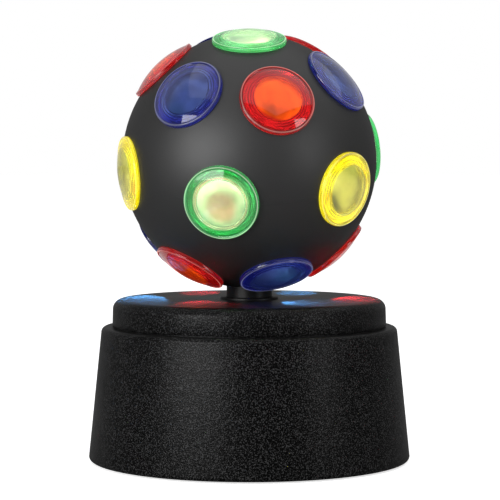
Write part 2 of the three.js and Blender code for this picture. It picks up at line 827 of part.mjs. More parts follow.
function gearClip() {
  const inner = neckEndRadius - clipGrooveDepth + fit;
  const outer = inner + clipWidth;
  const shape = new THREE.Shape();
  const from = clipOpening / 2;
  const to = 2 * Math.PI - from;
  shape.absarc(0, 0, outer, from, to, false);
  shape.absarc(0, 0, inner, to, from, true);
  const top = hubBottomLevel - fit / 2;
  const geometry = new THREE.ExtrudeGeometry(
    shape, { depth: clipThickness, bevelEnabled: false, curveSegments: smallSides });
  geometry.translate(0, 0, top - clipThickness);
  return solidOf(geometry);
}

// The lamp post, its board and the light stand still inside the turning ball
const ledTopLevel = ballCentreLevel - ledTopBelowCentre;
const ledBoardTopLevel = ledTopLevel - ledHeight;
const postTopLevel = ledBoardTopLevel - ledBoardThickness;
const postBoreRadius = postRadius - postWall;

function lampPost() {
  return turned([
    [postBoreRadius, drivePlateUnderLevel - postFlangeHeight],
    [postFlangeRadius, drivePlateUnderLevel - postFlangeHeight],
    [postFlangeRadius, drivePlateUnderLevel],
    [postRadius, drivePlateUnderLevel],
    [postRadius, postTopLevel],
    [postBoreRadius, postTopLevel],
    [postBoreRadius, drivePlateUnderLevel - postFlangeHeight],
  ], tubeSides);
}

function lightBoard() {
  return rod(ledBoardRadius, postTopLevel, ledBoardTopLevel, tubeSides + smallSides);
}

function lightSource() {
  const rimTop = ledBoardTopLevel + ledRimHeight;
  const domeCentre = ledTopLevel - ledRadius;
  return turned([
    [0, ledBoardTopLevel],
    [ledRadius + ledRimWidth, ledBoardTopLevel],
    [ledRadius + ledRimWidth, rimTop],
    [ledRadius, rimTop],
    ...quarterRound(0, domeCentre, ledRadius, 0, Math.PI / 2, cornerSteps).slice(0, -1),
    [0, ledTopLevel],
  ], tubeSides);
}

// Lenses and ball shells are made about the ball's centre, before the ball's tilt
function lensTurn(azimuth, polar) {
  const turnZ = new THREE.Matrix4().makeRotationZ(azimuth);
  return turnZ.multiply(new THREE.Matrix4().makeRotationX(polar));
}

function lensPlaces() {
  const places = [];
  for (const { row, count, polar, turn, colours } of lensRows) {
    for (let k = 0; k < count; k += 1) {
      const name = count > 1 ? `lens_${row}_${k + 1}` : `lens_${row}`;
      const matrix = lensTurn(turn + 2 * Math.PI * k / count, polar);
      places.push({ name, matrix, colour: colours[k % colours.length] });
    }
  }
  return places;
}

// A lens stands on its seat plane, with its spigot below zero and its dome above
function lens() {
  const shoulderRadius = lensRadius - lensShoulder;
  const domeRadius = (shoulderRadius ** 2 + lensDome ** 2) / (2 * lensDome);
  const domeCentre = lensEdge + lensDome - domeRadius;
  const domeHeightAt = (radius) => domeCentre + Math.sqrt(domeRadius ** 2 - radius ** 2);
  const innerRadius = lensSpigotRadius - lensSpigotWall;
  const profile = [
    [innerRadius, -lensSpigotDepth],
    [lensSpigotRadius, -lensSpigotDepth],
    [lensSpigotRadius, ballHeightAt(lensSpigotRadius) - lensSeatHeight + fit],
    [lensRadius, fit],
    [lensRadius, lensEdge],
    [shoulderRadius, lensEdge],
    [shoulderRadius * domeMidShare, domeHeightAt(shoulderRadius * domeMidShare)],
    [0, lensEdge + lensDome],
  ];
  const inside = [
    [0, lensEdge + lensDome - lensThickness],
    [innerRadius, lensEdge - lensThickness],
    profile[0],
  ];
  return turned([...profile, ...inside], lensSides);
}

function lensHole(matrix) {
  const holeRadius = lensSpigotRadius + fit;
  const low = lensSeatHeight - lensRadius;
  const high = ballRadius + cutRun;
  const geometry = turnedGeometry([[0, low], [holeRadius, low], [holeRadius, high], [0, high]], lensSides);
  return solidOf(geometry.applyMatrix4(matrix));
}

// Half of the hollow sphere above its seam, which lies at the given height
function hemisphere(seam) {
  const arc = (radius, steps) => {
    const start = Math.asin(seam / radius);
    return [...quarterRound(0, 0, radius, start, Math.PI / 2, steps).slice(0, -1), [0, radius]];
  };
  const outerArc = arc(ballRadius, ballArcSteps);
  const innerArc = arc(ballRadius - ballWall, ballInnerArcSteps);
  return turned([...outerArc, ...innerArc.reverse(), outerArc[0]], ballSides);
}

function upperShell(holes) {
  return cutBy(hemisphere(seamGap / 2), holes);
}

// The neck hangs straight down from the tilted ball, so it is turned back by the tilt
function neckProfile() {
  const down = (level) => level - ballCentreLevel;
  const intoShell = -ballRadius + ballWall / 2;
  const grooveRadius = neckEndRadius - clipGrooveDepth;
  const grooveBottom = down(hubBottomLevel - clipGrooveHeight);
  return [
    [0, down(neckEndLevel)],
    [neckEndRadius, down(neckEndLevel)],
    [neckEndRadius, grooveBottom],
    [grooveRadius, grooveBottom],
    [grooveRadius, down(hubBottomLevel)],
    [neckEndRadius, down(hubBottomLevel)],
    [neckEndRadius, down(hubTopLevel + hubEndPlay)],
    [neckRadius, down(hubTopLevel + hubEndPlay)],
    [neckRadius, intoShell],
    [0, intoShell],
  ];
}

function lowerShell(holes) {
  const untilt = new THREE.Matrix4().makeRotationX(-ballTilt);
  const half = hemisphere(seamGap / 2).rotate([180, 0, 0]);
  const lipRadius = ballRadius - ballWall - fit - seamGap / 2;
  const lip = ring(lipRadius - seamLipWall, lipRadius, -seamLipRoot, seamLipHeight, ballSides);
  const neck = solidOf(turnedGeometry(neckProfile(), tubeSides + smallSides).applyMatrix4(untilt));
  const boreProfile = [
    [0, neckEndLevel - ballCentreLevel - cutRun],
    [neckBoreRadius, neckEndLevel - ballCentreLevel - cutRun],
    [neckBoreRadius, ballWall - ballRadius + cutRun],
    [0, ballWall - ballRadius + cutRun],
  ];
  const bore = solidOf(turnedGeometry(boreProfile, tubeSides).applyMatrix4(untilt));
  return cutBy(cutBy(half.add(lip), holes).add(neck), [bore]);
}

// A lead follows a smooth curve through its points
function lead(points) {
  const path = new THREE.CatmullRomCurve3(points.map((point) => new THREE.Vector3(...point)));
  const section = new THREE.Shape();
  for (let side = 0; side < leadSides; side += 1) {
    const angle = 2 * Math.PI * side / leadSides;
    const corner = [leadRadius * Math.cos(angle), leadRadius * Math.sin(angle)];
    if (side === 0) section.moveTo(...corner);
    else section.lineTo(...corner);
  }
  const options = { steps: leadSteps, extrudePath: path, bevelEnabled: false };
  return solidOf(new THREE.ExtrudeGeometry(section, options));
}

const switchBackY = padInnerY - switchSeatGap - switchDepth;
const leadStartY = switchBackY - fit;
const leadRiseLevel = drivePlateUnderLevel - postFlangeHeight - 2 * postRadius;

function lightLead() {
  return lead([
    [0, leadStartY, switchLevel],
    [0, leadStartY - 2 * cellRadius, switchLevel],
    [0, leadStartY / 3, leadRiseLevel],
    [0, postRadius, leadRiseLevel],
    [0, 0, drivePlateUnderLevel - postFlangeHeight],
    [0, 0, drivePlateUnderLevel + postFlangeRadius],
    [0, 0, postTopLevel - ledBoardRadius],
    [0, 0, postTopLevel - fit],
  ]);
}

function batteryLead() {
  const leadLevel = bayRoofLevel - cellRadius;
  const startX = switchHalfWidth - 2 * leadRadius;
  return lead([
    [cellPitch, contactInnerY + contactThickness + fit, leadLevel],
    [cellPitch, bayHalfLength + bayWall, leadLevel],
    [cellPitch, bayHalfLength + cellRadius, leadLevel + leadRadius],
    [startX, (bayHalfLength + leadStartY) / 2 + cellRadius / 2, switchLevel],
    [startX, leadStartY - cellRadius / 2, switchLevel],
    [startX, leadStartY, switchLevel],
  ]);
}

// Assembly
const lamp = new THREE.Group();
const ball = new THREE.Group();
ball.position.z = ballCentreLevel;
ball.rotation.x = ballTilt;
lamp.add(ball);

function place(parent, name, solid, look) {
  const mesh = new THREE.Mesh(geometryOf(solid), finishes[look]());
  mesh.name = name;
  parent.add(mesh);
  return mesh;
}

function placeEach(name, solid, look, places, level) {
  places.forEach(([x, y], k) => {
    place(lamp, `${name}_${k + 1}`, solid, look).position.set(x, y, level);
  });
}

place(lamp, 'base_housing', baseHousing(), 'grainedCase');
place(lamp, 'top_cover', topCover(), 'grainedCase');
place(lamp, 'bottom_plate', bottomPlate(), 'innerPlastic');
place(lamp, 'battery_door', batteryDoor(), 'innerPlastic');
placeEach('foot', foot(), 'rubber', footPlaces, 0);
placeEach(
  'case_screw', screw(screwHeadHeight, caseScrewLength), 'steel', pillarPlaces,
  plateUnderLevel + screwHeadRoom);
const doorScrew = screw(doorScrewHeadHeight - screwHeadRoom / 2, doorScrewLength);
place(lamp, 'battery_door_screw', doorScrew, 'steel').position.set(0, doorScrewY, plateUnderLevel);

for (let number = 0; number < cellCount; number += 1) {
  const mesh = place(lamp, `battery_cell_${number + 1}`, cell(), 'cellJacket');
  const rear = nubFacesRear(number);
  mesh.rotation.z = rear ? 0 : Math.PI;
  mesh.position.set(cellX(number), rear ? nubTipY - cellLength : cellLength - nubTipY, cellLevel);
}
place(lamp, 'contact_rear_pair', contact([0, 1], 1), 'brass');
place(lamp, 'contact_rear_single', contact([2], 1), 'brass');
place(lamp, 'contact_front_single', contact([0], -1), 'brass');
place(lamp, 'contact_front_pair', contact([1, 2], -1), 'brass');

place(lamp, 'switch_body', switchBody(), 'steel');
place(lamp, 'switch_knob', switchKnob(), 'innerPlastic');

place(lamp, 'drive_plate', drivePlate(), 'innerPlastic');
placeEach(
  'drive_plate_screw', screw(screwHeadHeight, driveScrewLength), 'steel', standoffPlaces,
  drivePlateUnderLevel - screwHeadHeight);
place(lamp, 'gear_motor', gearMotor(), 'steel');
placeEach(
  'motor_screw', screw(screwHeadHeight, motorScrewLength), 'steel', motorEarPlaces,
  drivePlateUnderLevel - motorEarThickness - screwHeadHeight);
place(lamp, 'motor_shaft', motorShaft(), 'steel');
place(lamp, 'drive_pinion', drivePinion(), 'brass');
place(lamp, 'ball_gear', ballGear(), 'whiteGear');
place(lamp, 'gear_clip', gearClip(), 'steel');
place(lamp, 'thrust_washer', thrustWasher(), 'whiteGear');
place(lamp, 'neck_bush', neckBush(), 'innerPlastic');

place(lamp, 'lamp_post', lampPost(), 'innerPlastic');
place(lamp, 'light_board', lightBoard(), 'board');
place(lamp, 'light_source', lightSource(), 'glow');
place(lamp, 'light_lead', lightLead(), 'leadJacket');
place(lamp, 'battery_lead', batteryLead(), 'leadJacket');

const places = lensPlaces();
const holes = places.map(({ matrix }) => lensHole(matrix));
place(ball, 'ball_upper_shell', upperShell(holes), 'ballBlack');
place(ball, 'ball_lower_shell', lowerShell(holes), 'ballBlack');
const lensSolid = lens();
for (const { name, matrix, colour } of places) {
  const mesh = place(ball, name, lensSolid, colour);
  mesh.quaternion.setFromRotationMatrix(matrix);
  mesh.position.set(0, 0, lensSeatHeight).applyMatrix4(matrix);
}

export default lamp;
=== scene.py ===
"""Looks of the disco lamp: fine shells, polished coloured lenses, grained case, lamps and camera.

Everything is in metres, +Z up, with the origin on the table under the ball's axis.
"""

from math import asin, atan, cos, degrees, hypot, pi, radians, sin, sqrt

import bmesh
import bpy
from mathutils import Matrix, Vector


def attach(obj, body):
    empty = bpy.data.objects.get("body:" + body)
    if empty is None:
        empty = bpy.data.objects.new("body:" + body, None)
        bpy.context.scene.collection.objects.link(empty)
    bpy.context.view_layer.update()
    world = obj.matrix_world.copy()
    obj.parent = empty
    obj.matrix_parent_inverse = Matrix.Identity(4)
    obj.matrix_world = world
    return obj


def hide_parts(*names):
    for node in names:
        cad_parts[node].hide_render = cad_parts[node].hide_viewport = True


MM = 0.001


def mm(*lengths):
    """Lengths in metres, from millimetres."""
    return [length * MM for length in lengths]


# Clearances
FIT = 0.3 * MM
CUT_RUN = 2 * MM

# Sides of round pieces
BASE_SIDES = 192
BALL_SIDES = 160
HOLE_SIDES = 24

# Base housing
RIM_LEVEL = 0.6 * MM
RIM_RADIUS = 65 * MM
RIM_ROUND = 1.5 * MM
HOUSING_HEIGHT = 53.8 * MM
SHELF_RADIUS = 59.9 * MM
SHELF_ROUND = 2 * MM
SHELF_INNER_RADIUS = 52.5 * MM
HOUSING_WALL = 2.2 * MM
RIM_WALL = 3 * MM
LEDGE_WIDTH = 1.7 * MM
LEDGE_HEIGHT = 2.4 * MM
SHELF_LEVEL = RIM_LEVEL + HOUSING_HEIGHT

# Top cover with its pillars and standoffs
COVER_RADIUS = 55.2 * MM
COVER_DRAFT = 0.2 * MM
COVER_HEIGHT = 11.1 * MM
COVER_ROUND = 3.9 * MM
COVER_WALL = 2.4 * MM
COVER_LIP_WALL = 1.6 * MM
COVER_LIP_DEPTH = 3 * MM
COVER_HOLE_RADIUS = 10.7 * MM
COVER_BOSS_WALL = 3 * MM
SHADOW_GAP = 0.5 * MM
SHADOW_DEPTH = 0.8 * MM
COVER_TOP_LEVEL = SHELF_LEVEL + COVER_HEIGHT
PILLAR_RADIUS = 4 * MM
PILLAR_COUNT = 3
PILLAR_REACH = 47.5 * MM
PILLAR_START = 30
PILLAR_HOLE_DEPTH = 12 * MM
STANDOFF_RADIUS = 3.5 * MM
STANDOFF_REACH = 33 * MM
STANDOFF_BOTTOM = 45.1 * MM
STANDOFF_HOLE_DEPTH = 9 * MM

# Bottom plate, battery bay and feet
PLATE_UNDER = 1.2 * MM
PLATE_TOP = 4.6 * MM
PLATE_RADIUS = 61.7 * MM
BAY_HALF_WIDTH = 22.95 * MM
BAY_HALF_LENGTH = 29 * MM
BAY_WALL = 1.6 * MM
BAY_ROOF = 18.9 * MM
FOOT_COUNT = 4
FOOT_REACH = 54 * MM
FOOT_START = 45
FOOT_RADIUS = 6 * MM
FOOT_HEIGHT = 1.8 * MM
SCREW_HOLE_RADIUS = 1.6 * MM
HEAD_ROOM_RADIUS = 2.9 * MM
CASE_HEAD_LEVEL = 1.6 * MM

# Battery door
DOOR_HALF_WIDTH = 24.25 * MM
DOOR_END = 31.5 * MM
DOOR_INNER = 3.2 * MM
ROLL_Y = -33.2 * MM
ROLL_LEVEL = 3.4 * MM
ROLL_RADIUS = 2.2 * MM
PIN_RADIUS = 1.2 * MM
PIN_REACH = 26.45 * MM
TAB_HALF_WIDTH = 5 * MM
TAB_END = 39 * MM
DOOR_SCREW_Y = 35 * MM
DOOR_BOSS_TOP = 10 * MM

# Cells and contacts
CELL_COUNT = 3
CELL_LENGTH = 50.5 * MM
CELL_PITCH = 15.1 * MM
CELL_LEVEL = 11.05 * MM
NUB_TIP = 27 * MM
CONTACT_INNER = 28.1 * MM
CONTACT_THICKNESS = 0.6 * MM

# Switch
SWITCH_LEVEL = 26 * MM
POCKET_FLOOR = 60.192 * MM
PAD_INNER = 57.292 * MM

# Ball, neck and lenses
BALL_RADIUS = 51.3 * MM
BALL_WALL = 2 * MM
BALL_CENTRE_LEVEL = 121.2 * MM
BALL_TILT = radians(18.47)
BALL_SEAM = 0.02 * MM
NECK_RADIUS = 9.2 * MM
NECK_END_RADIUS = 8 * MM
NECK_BORE_RADIUS = 6.3 * MM
LENS_RADIUS = 14.78 * MM
LENS_EDGE = 2.1 * MM
LENS_DOME = 2.7 * MM
LENS_SPIGOT_RADIUS = 13.1 * MM
LENS_SPIGOT_DEPTH = 2.4 * MM
LENS_SPIGOT_WALL = 1.2 * MM
LENS_SEAT = sqrt(BALL_RADIUS ** 2 - LENS_RADIUS ** 2)
ROW_TURN = radians(17.7)
ROW_ANGLE = radians(44.3)
IN_ROW = 6
LENS_ROWS = (
    ("top", 1, 0.0, 0.0, ("green",)),
    ("upper", IN_ROW, ROW_ANGLE, ROW_TURN, ("red", "blue")),
    ("middle", IN_ROW, pi / 2, ROW_TURN + pi / IN_ROW, ("yellow", "green")),
    ("lower", IN_ROW, pi - ROW_ANGLE, ROW_TURN, ("blue", "red")),
)

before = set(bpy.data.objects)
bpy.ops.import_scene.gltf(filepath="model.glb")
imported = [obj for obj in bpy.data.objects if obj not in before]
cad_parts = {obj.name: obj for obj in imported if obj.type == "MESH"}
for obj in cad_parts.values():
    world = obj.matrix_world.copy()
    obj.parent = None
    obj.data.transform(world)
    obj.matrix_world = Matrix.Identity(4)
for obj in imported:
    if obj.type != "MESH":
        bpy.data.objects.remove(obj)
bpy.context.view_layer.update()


# Meshes

def new_object(name, data):
    item = bpy.data.objects.new(name, data)
    bpy.context.scene.collection.objects.link(item)
    return item


SMOOTH_ANGLE = 35
LENS_SMOOTH_ANGLE = 28
ON_AXIS = 1e-7


def smooth(mesh, angle=SMOOTH_ANGLE):
    mesh.polygons.foreach_set("use_smooth", [True] * len(mesh.polygons))
    mesh.set_sharp_from_angle(angle=radians(angle))
    mesh.update()


def mesh_from(name, bm):
    mesh = bpy.data.meshes.new(name)
    bm.to_mesh(mesh)
    bm.free()
    smooth(mesh)
    return mesh


def arc(centre, radius, start, end, steps):
    """Points of a round stretch of a profile. Angles are in degrees from the outward direction."""
    points = []
    for step in range(steps + 1):
        angle = radians(start + (end - start) * step / steps)
        points.append((centre[0] + radius * cos(angle), centre[1] + radius * sin(angle)))
    return points


def turned(name, profile, sides, closed=True):
    """A profile of (radius, height) turned about Z. It ends on the axis, or closes on itself."""
    bm = bmesh.new()
    angles = [2 * pi * side / sides for side in range(sides)]
    rings = []
    for radius, height in profile:
        if radius < ON_AXIS:
            rings.append([bm.verts.new((0, 0, height))])
            continue
        rings.append([bm.verts.new((radius * cos(angle), radius * sin(angle), height))
                      for angle in angles])
    pairs = list(zip(rings, rings[1:]))
    if closed:
        pairs.append((rings[-1], rings[0]))
    for low, high in pairs:
        for side in range(sides):
            after = (side + 1) % sides
            corners = (low[side % len(low)], low[after % len(low)],
                       high[after % len(high)], high[side % len(high)])
            corners = list(dict.fromkeys(corners))
            if len(corners) > 2:
                bm.faces.new(corners)
    bmesh.ops.recalc_face_normals(bm, faces=bm.faces)
    return new_object(name, mesh_from(name, bm))


def stepped(bore, *bands):
    """The profile of a stepped piece. Each band is a radius with its lowest and highest level."""
    outside = [(radius, level) for radius, *levels in bands for level in levels]
    return [(bore, bands[0][1]), *outside, (bore, bands[-1][2])]


def rod(radius, low, high, sides=48, centre=(0, 0)):
    piece = turned("rod", stepped(0, (radius, low, high)), sides, closed=False)
    return place(piece, Matrix.Translation((*centre, 0)))


def rods(radius, low, high, places, sides=48):
    return [rod(radius, low, high, sides, spot) for spot in places]


def along_x(radius, reach, y, level, sides=32):
    """A rod that lies along X."""
    piece = rod(radius, -reach, reach, sides)
    return place(piece, Matrix.Translation((0, y, level)) @ Matrix.Rotation(pi / 2, 4, "Y"))


def block(low, high, edge=0.0, name="block"):
    """A box with rounded edges."""
    bm = bmesh.new()
    bmesh.ops.create_cube(bm, size=1)
    low, high = Vector(low), Vector(high)
    bmesh.ops.scale(bm, vec=high - low, verts=bm.verts)
    bmesh.ops.translate(bm, vec=(low + high) / 2, verts=bm.verts)
    if edge:
        bmesh.ops.bevel(
            bm, geom=bm.edges[:], offset=edge, segments=3, profile=0.5, affect="EDGES")
    return new_object(name, mesh_from(name, bm))


def across(half_width, front, rear, low, high, edge=0.0, name="block"):
    """A block whose middle is on the part's Y axis."""
    return block((-half_width, front, low), (half_width, rear, high), edge, name)


def settle(piece, smooth_angle=SMOOTH_ANGLE):
    """Turns what the modifiers make into a plain mesh."""
    graph = bpy.context.evaluated_depsgraph_get()
    mesh = bpy.data.meshes.new_from_object(piece.evaluated_get(graph))
    piece.modifiers.clear()
    piece.data = mesh
    smooth(mesh, smooth_angle)
    return piece


def combine(piece, tools, operation):
    """Joins the tools to the piece, or cuts them from it, one after another."""
    for tool in tools:
        modifier = piece.modifiers.new("combine", "BOOLEAN")
        modifier.operation = operation
        modifier.solver = "EXACT"
        modifier.object = tool
        settle(piece)
        bpy.data.objects.remove(tool)
    return piece


def merged(name, pieces):
    """One mesh of several that don't touch."""
    bm = bmesh.new()
    for piece in pieces:
        bm.from_mesh(piece.data)
        bpy.data.objects.remove(piece)
    return new_object(name, mesh_from(name, bm))


def place(piece, matrix):
    piece.data.transform(matrix)
    return piece


def around(count, reach, start_degrees):
    """Places on a circle about the axis."""
    angles = [radians(start_degrees + 360 * k / count) for k in range(count)]
    return [(reach * cos(angle), reach * sin(angle)) for angle in angles]


PILLAR_PLACES = around(PILLAR_COUNT, PILLAR_REACH, PILLAR_START)
STANDOFF_PLACES = around(3, STANDOFF_REACH, 0)
FOOT_PLACES = around(FOOT_COUNT, FOOT_REACH, FOOT_START)


def dress(piece, body, nodes, slot, *materials):
    """Gives a finished piece its materials and body, and hides the CAD nodes that it stands for.
    The slot is not used.
    """
    if materials:
        piece.data.materials.clear()
    for material in materials:
        piece.data.materials.append(MATERIALS[material])
    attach(piece, body)
    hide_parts(*nodes)
    return piece


# Nodes, for plans and materials alike

def feed(tree, node, inputs):
    """Links sockets to a node's inputs, or sets their values."""
    for title, value in inputs.items():
        if isinstance(value, bpy.types.NodeSocket):
            tree.links.new(value, node.inputs[title])
        else:
            node.inputs[title].default_value = value


def add_node(tree, kind, inputs, output=0, **settings):
    """Adds a node, feeds its inputs, and gives the socket that it puts out."""
    node = tree.nodes.new(kind)
    for key, value in settings.items():
        setattr(node, key, value)
    feed(tree, node, inputs)
    return node.outputs[output]


def math_node(tree, operation, *values):
    return add_node(tree, "ShaderNodeMath", dict(enumerate(values)), operation=operation)


# Geometry Nodes: plans whose sizes are named inputs

PATH_RADIUS = 40 * MM
WELD = 0.001 * MM


class Plan:
    """A Geometry Nodes tree. It ends in Realize Instances and Set Material."""

    def __init__(self, name, sizes):
        self.tree = bpy.data.node_groups.new(name, "GeometryNodeTree")
        sockets = self.tree.interface
        sockets.new_socket("Profile", in_out="INPUT", socket_type="NodeSocketGeometry")
        for title, value in sizes.items():
            kind = "NodeSocketInt" if isinstance(value, int) else "NodeSocketFloat"
            socket = sockets.new_socket(title, in_out="INPUT", socket_type=kind)
            socket.default_value = value
        sockets.new_socket("Material", in_out="INPUT", socket_type="NodeSocketMaterial")
        sockets.new_socket("Geometry", in_out="OUTPUT", socket_type="NodeSocketGeometry")
        self.entry = self.tree.nodes.new("NodeGroupInput").outputs

    def add(self, kind, inputs, output=0, **settings):
        return add_node(self.tree, kind, inputs, output, **settings)

    def maths(self, operation, *values):
        return math_node(self.tree, operation, *values)

    def ring(self, radius):
        """A circle with the plan's number of sides."""
        return self.add("GeometryNodeCurvePrimitiveCircle",
                        {"Resolution": self.entry["Sides"], "Radius": self.entry[radius]})

    def turned(self):
        """The profile, laid out from the path's radius, turned about Z."""
        outline = self.add("GeometryNodeMeshToCurve", {"Mesh": self.entry["Profile"]})
        swept = self.add("GeometryNodeCurveToMesh",
                         {"Curve": self.ring("Path Radius"), "Profile Curve": outline})
        return self.add("GeometryNodeMergeByDistance", {"Geometry": swept, "Distance": WELD})

    def on_circle(self, geometry):
        """Copies of a piece on a circle about Z."""
        index = self.add("GeometryNodeInputIndex", {})
        step = self.maths("DIVIDE", 2 * pi, self.entry["Count"])
        angle = self.maths("ADD", self.entry["Start Angle"], self.maths("MULTIPLY", index, step))
        across = self.maths("MULTIPLY", self.entry["Reach"], self.maths("COSINE", angle))
        along = self.maths("MULTIPLY", self.entry["Reach"], self.maths("SINE", angle))
        spot = self.add("ShaderNodeCombineXYZ", {"X": across, "Y": along})
        points = self.add("GeometryNodePoints", {"Count": self.entry["Count"], "Position": spot})
        return self.add("GeometryNodeInstanceOnPoints", {"Points": points, "Instance": geometry})

    def finish(self, geometry):
        real = self.add("GeometryNodeRealizeInstances", {"Geometry": geometry})
        painted = self.add("GeometryNodeSetMaterial",
                           {"Geometry": real, "Material": self.entry["Material"]})
        self.tree.links.new(painted, self.tree.nodes.new("NodeGroupOutput").inputs[0])
        return self.tree


def grown(name, tree, material, sizes, profile=(), smooth_angle=SMOOTH_ANGLE):
    """A piece that a plan makes with the given sizes."""
    points = [(radius - PATH_RADIUS, -height, 0) for radius, height in profile]
    mesh = bpy.data.meshes.new(name)
    mesh.from_pydata(points, [(k, k + 1) for k in range(len(points) - 1)], [])
    piece = new_object(name, mesh)
    modifier = piece.modifiers.new(name, "NODES")
    modifier.node_group = tree
    values = {**sizes, "Material": MATERIALS[material]}
    for item in tree.interface.items_tree:
        if item.in_out == "INPUT" and item.name in values:
            modifier[item.identifier] = values[item.name]
    settle(piece, smooth_angle)
    bm = bmesh.new()
    bm.from_mesh(piece.data)
    bmesh.ops.recalc_face_normals(bm, faces=bm.faces)
    bm.to_mesh(piece.data)
    bm.free()
    return piece


def lens_plan():
    """A turned lens that keeps each point's share of the lens's radius for its material."""
    plan = Plan("turned lens",
                {"Sides": 96, "Path Radius": PATH_RADIUS, "Lens Radius": LENS_RADIUS})
    position = plan.add("GeometryNodeInputPosition", {})
    flat = plan.add("ShaderNodeVectorMath", {0: position, 1: (1, 1, 0)}, operation="MULTIPLY")
    reach = plan.add("ShaderNodeVectorMath", {0: flat}, output=1, operation="LENGTH")
    share = plan.maths("DIVIDE", reach, plan.entry["Lens Radius"])
    kept = plan.add("GeometryNodeStoreNamedAttribute",
                    {"Geometry": plan.turned(), "Name": "radius_share", "Value": share})
    return plan.finish(kept)


def feet_plan():
    """Turned feet on a circle."""
    plan = Plan("feet on a circle", {
        "Sides": 48, "Path Radius": PATH_RADIUS, "Count": FOOT_COUNT, "Reach": FOOT_REACH,
        "Start Angle": radians(FOOT_START)})
    return plan.finish(plan.on_circle(plan.turned()))


def screws_plan():
    """Turned screws on a circle, each with a cross recess in its head."""
    plan = Plan("cross head screws on a circle", {
        "Sides": 32, "Path Radius": PATH_RADIUS, "Count": PILLAR_COUNT, "Reach": PILLAR_REACH,
        "Start Angle": radians(PILLAR_START), "Head Level": CASE_HEAD_LEVEL,
        "Recess Length": 3 * MM, "Recess Width": 0.6 * MM, "Recess Depth": 0.9 * MM})
    long, wide = plan.entry["Recess Length"], plan.entry["Recess Width"]
    deep = plan.maths("MULTIPLY", plan.entry["Recess Depth"], 2.0)
    level = plan.add("ShaderNodeCombineXYZ", {"Z": plan.entry["Head Level"]})
    screw = plan.turned()
    for x, y in ((long, wide), (wide, long)):
        size = plan.add("ShaderNodeCombineXYZ", {"X": x, "Y": y, "Z": deep})
        bar = plan.add("GeometryNodeMeshCube", {"Size": size})
        cut = plan.add("GeometryNodeTransform", {"Geometry": bar, "Translation": level})
        screw = plan.add("GeometryNodeMeshBoolean", {"Mesh 1": screw, "Mesh 2": cut},
                         operation="DIFFERENCE", solver="EXACT")
    return plan.finish(plan.on_circle(screw))


def ribs_plan():
    """Round ribs side by side along Y, each lying along X."""
    plan = Plan("row of ribs", {
        "Count": 5, "Pitch": 1.6 * MM, "Rib Length": 16 * MM, "Rib Radius": 0.4 * MM, "Sides": 12})
    half = plan.maths("DIVIDE", plan.entry["Rib Length"], 2.0)
    left = plan.add("ShaderNodeCombineXYZ", {"X": plan.maths("MULTIPLY", half, -1.0)})
    right = plan.add("ShaderNodeCombineXYZ", {"X": half})
    line = plan.add("GeometryNodeCurvePrimitiveLine", {"Start": left, "End": right})
    rib = plan.add("GeometryNodeCurveToMesh", {
        "Curve": line, "Profile Curve": plan.ring("Rib Radius"), "Fill Caps": True})
    pitch = plan.add("ShaderNodeCombineXYZ", {"Y": plan.entry["Pitch"]})
    row = plan.add("GeometryNodeMeshLine", {"Count": plan.entry["Count"], "Offset": pitch})
    return plan.finish(plan.add("GeometryNodeInstanceOnPoints", {"Points": row, "Instance": rib}))


def spring_plan():
    """A coil spring that narrows along Z."""
    plan = Plan("contact spring", {
        "Turns": 3.5, "Start Radius": 5 * MM, "End Radius": 2.6 * MM, "Height": 3.5 * MM,
        "Wire Radius": 0.32 * MM, "Steps": 120, "Sides": 8})
    coil = plan.add("GeometryNodeCurveSpiral", {
        "Resolution": plan.entry["Steps"], "Rotations": plan.entry["Turns"],
        "Start Radius": plan.entry["Start Radius"], "End Radius": plan.entry["End Radius"],
        "Height": plan.entry["Height"]})
    return plan.finish(plan.add("GeometryNodeCurveToMesh", {
        "Curve": coil, "Profile Curve": plan.ring("Wire Radius"), "Fill Caps": True}))


# Shader node groups that several materials share

def new_group(name, inputs, outputs):
    """A group with its input and output sockets, and the object's own coordinates in it."""
    group = bpy.data.node_groups.new(name, "ShaderNodeTree")
    kind = "NodeSocketFloat"
    for title, value in inputs:
        socket = group.interface.new_socket(title, in_out="INPUT", socket_type=kind)
        socket.default_value = value
    for title in outputs:
        group.interface.new_socket(title, in_out="OUTPUT", socket_type=kind)
    source = group.nodes.new("NodeGroupInput").outputs
    sink = group.nodes.new("NodeGroupOutput").inputs
    return group, source, sink, add_node(group, "ShaderNodeTexCoord", {}, "Object")


def ramp(tree, value, low, high):
    """0 below low, 1 above high, and a smooth step between."""
    return add_node(tree, "ShaderNodeMapRange", {"Value": value, "From Min": low, "From Max": high},
                    "Result", interpolation_type="SMOOTHSTEP")


def noise(tree, vector, scale, detail):
    return add_node(tree, "ShaderNodeTexNoise",
                    {"Vector": vector, "Scale": scale, "Detail": detail}, "Fac")


def mixed(tree, factor, first, second, kind="RGBA"):
    """The first colour or value where the factor is 0, the second where it is 1."""
    inputs = {"Factor": factor, "A": first, "B": second}
    for title, value in inputs.items():
        if isinstance(value, tuple):
            inputs[title] = (*value, 1)
    return add_node(tree, "ShaderNodeMix", inputs, "Result", data_type=kind)


NOISE_MIDDLE = 0.5


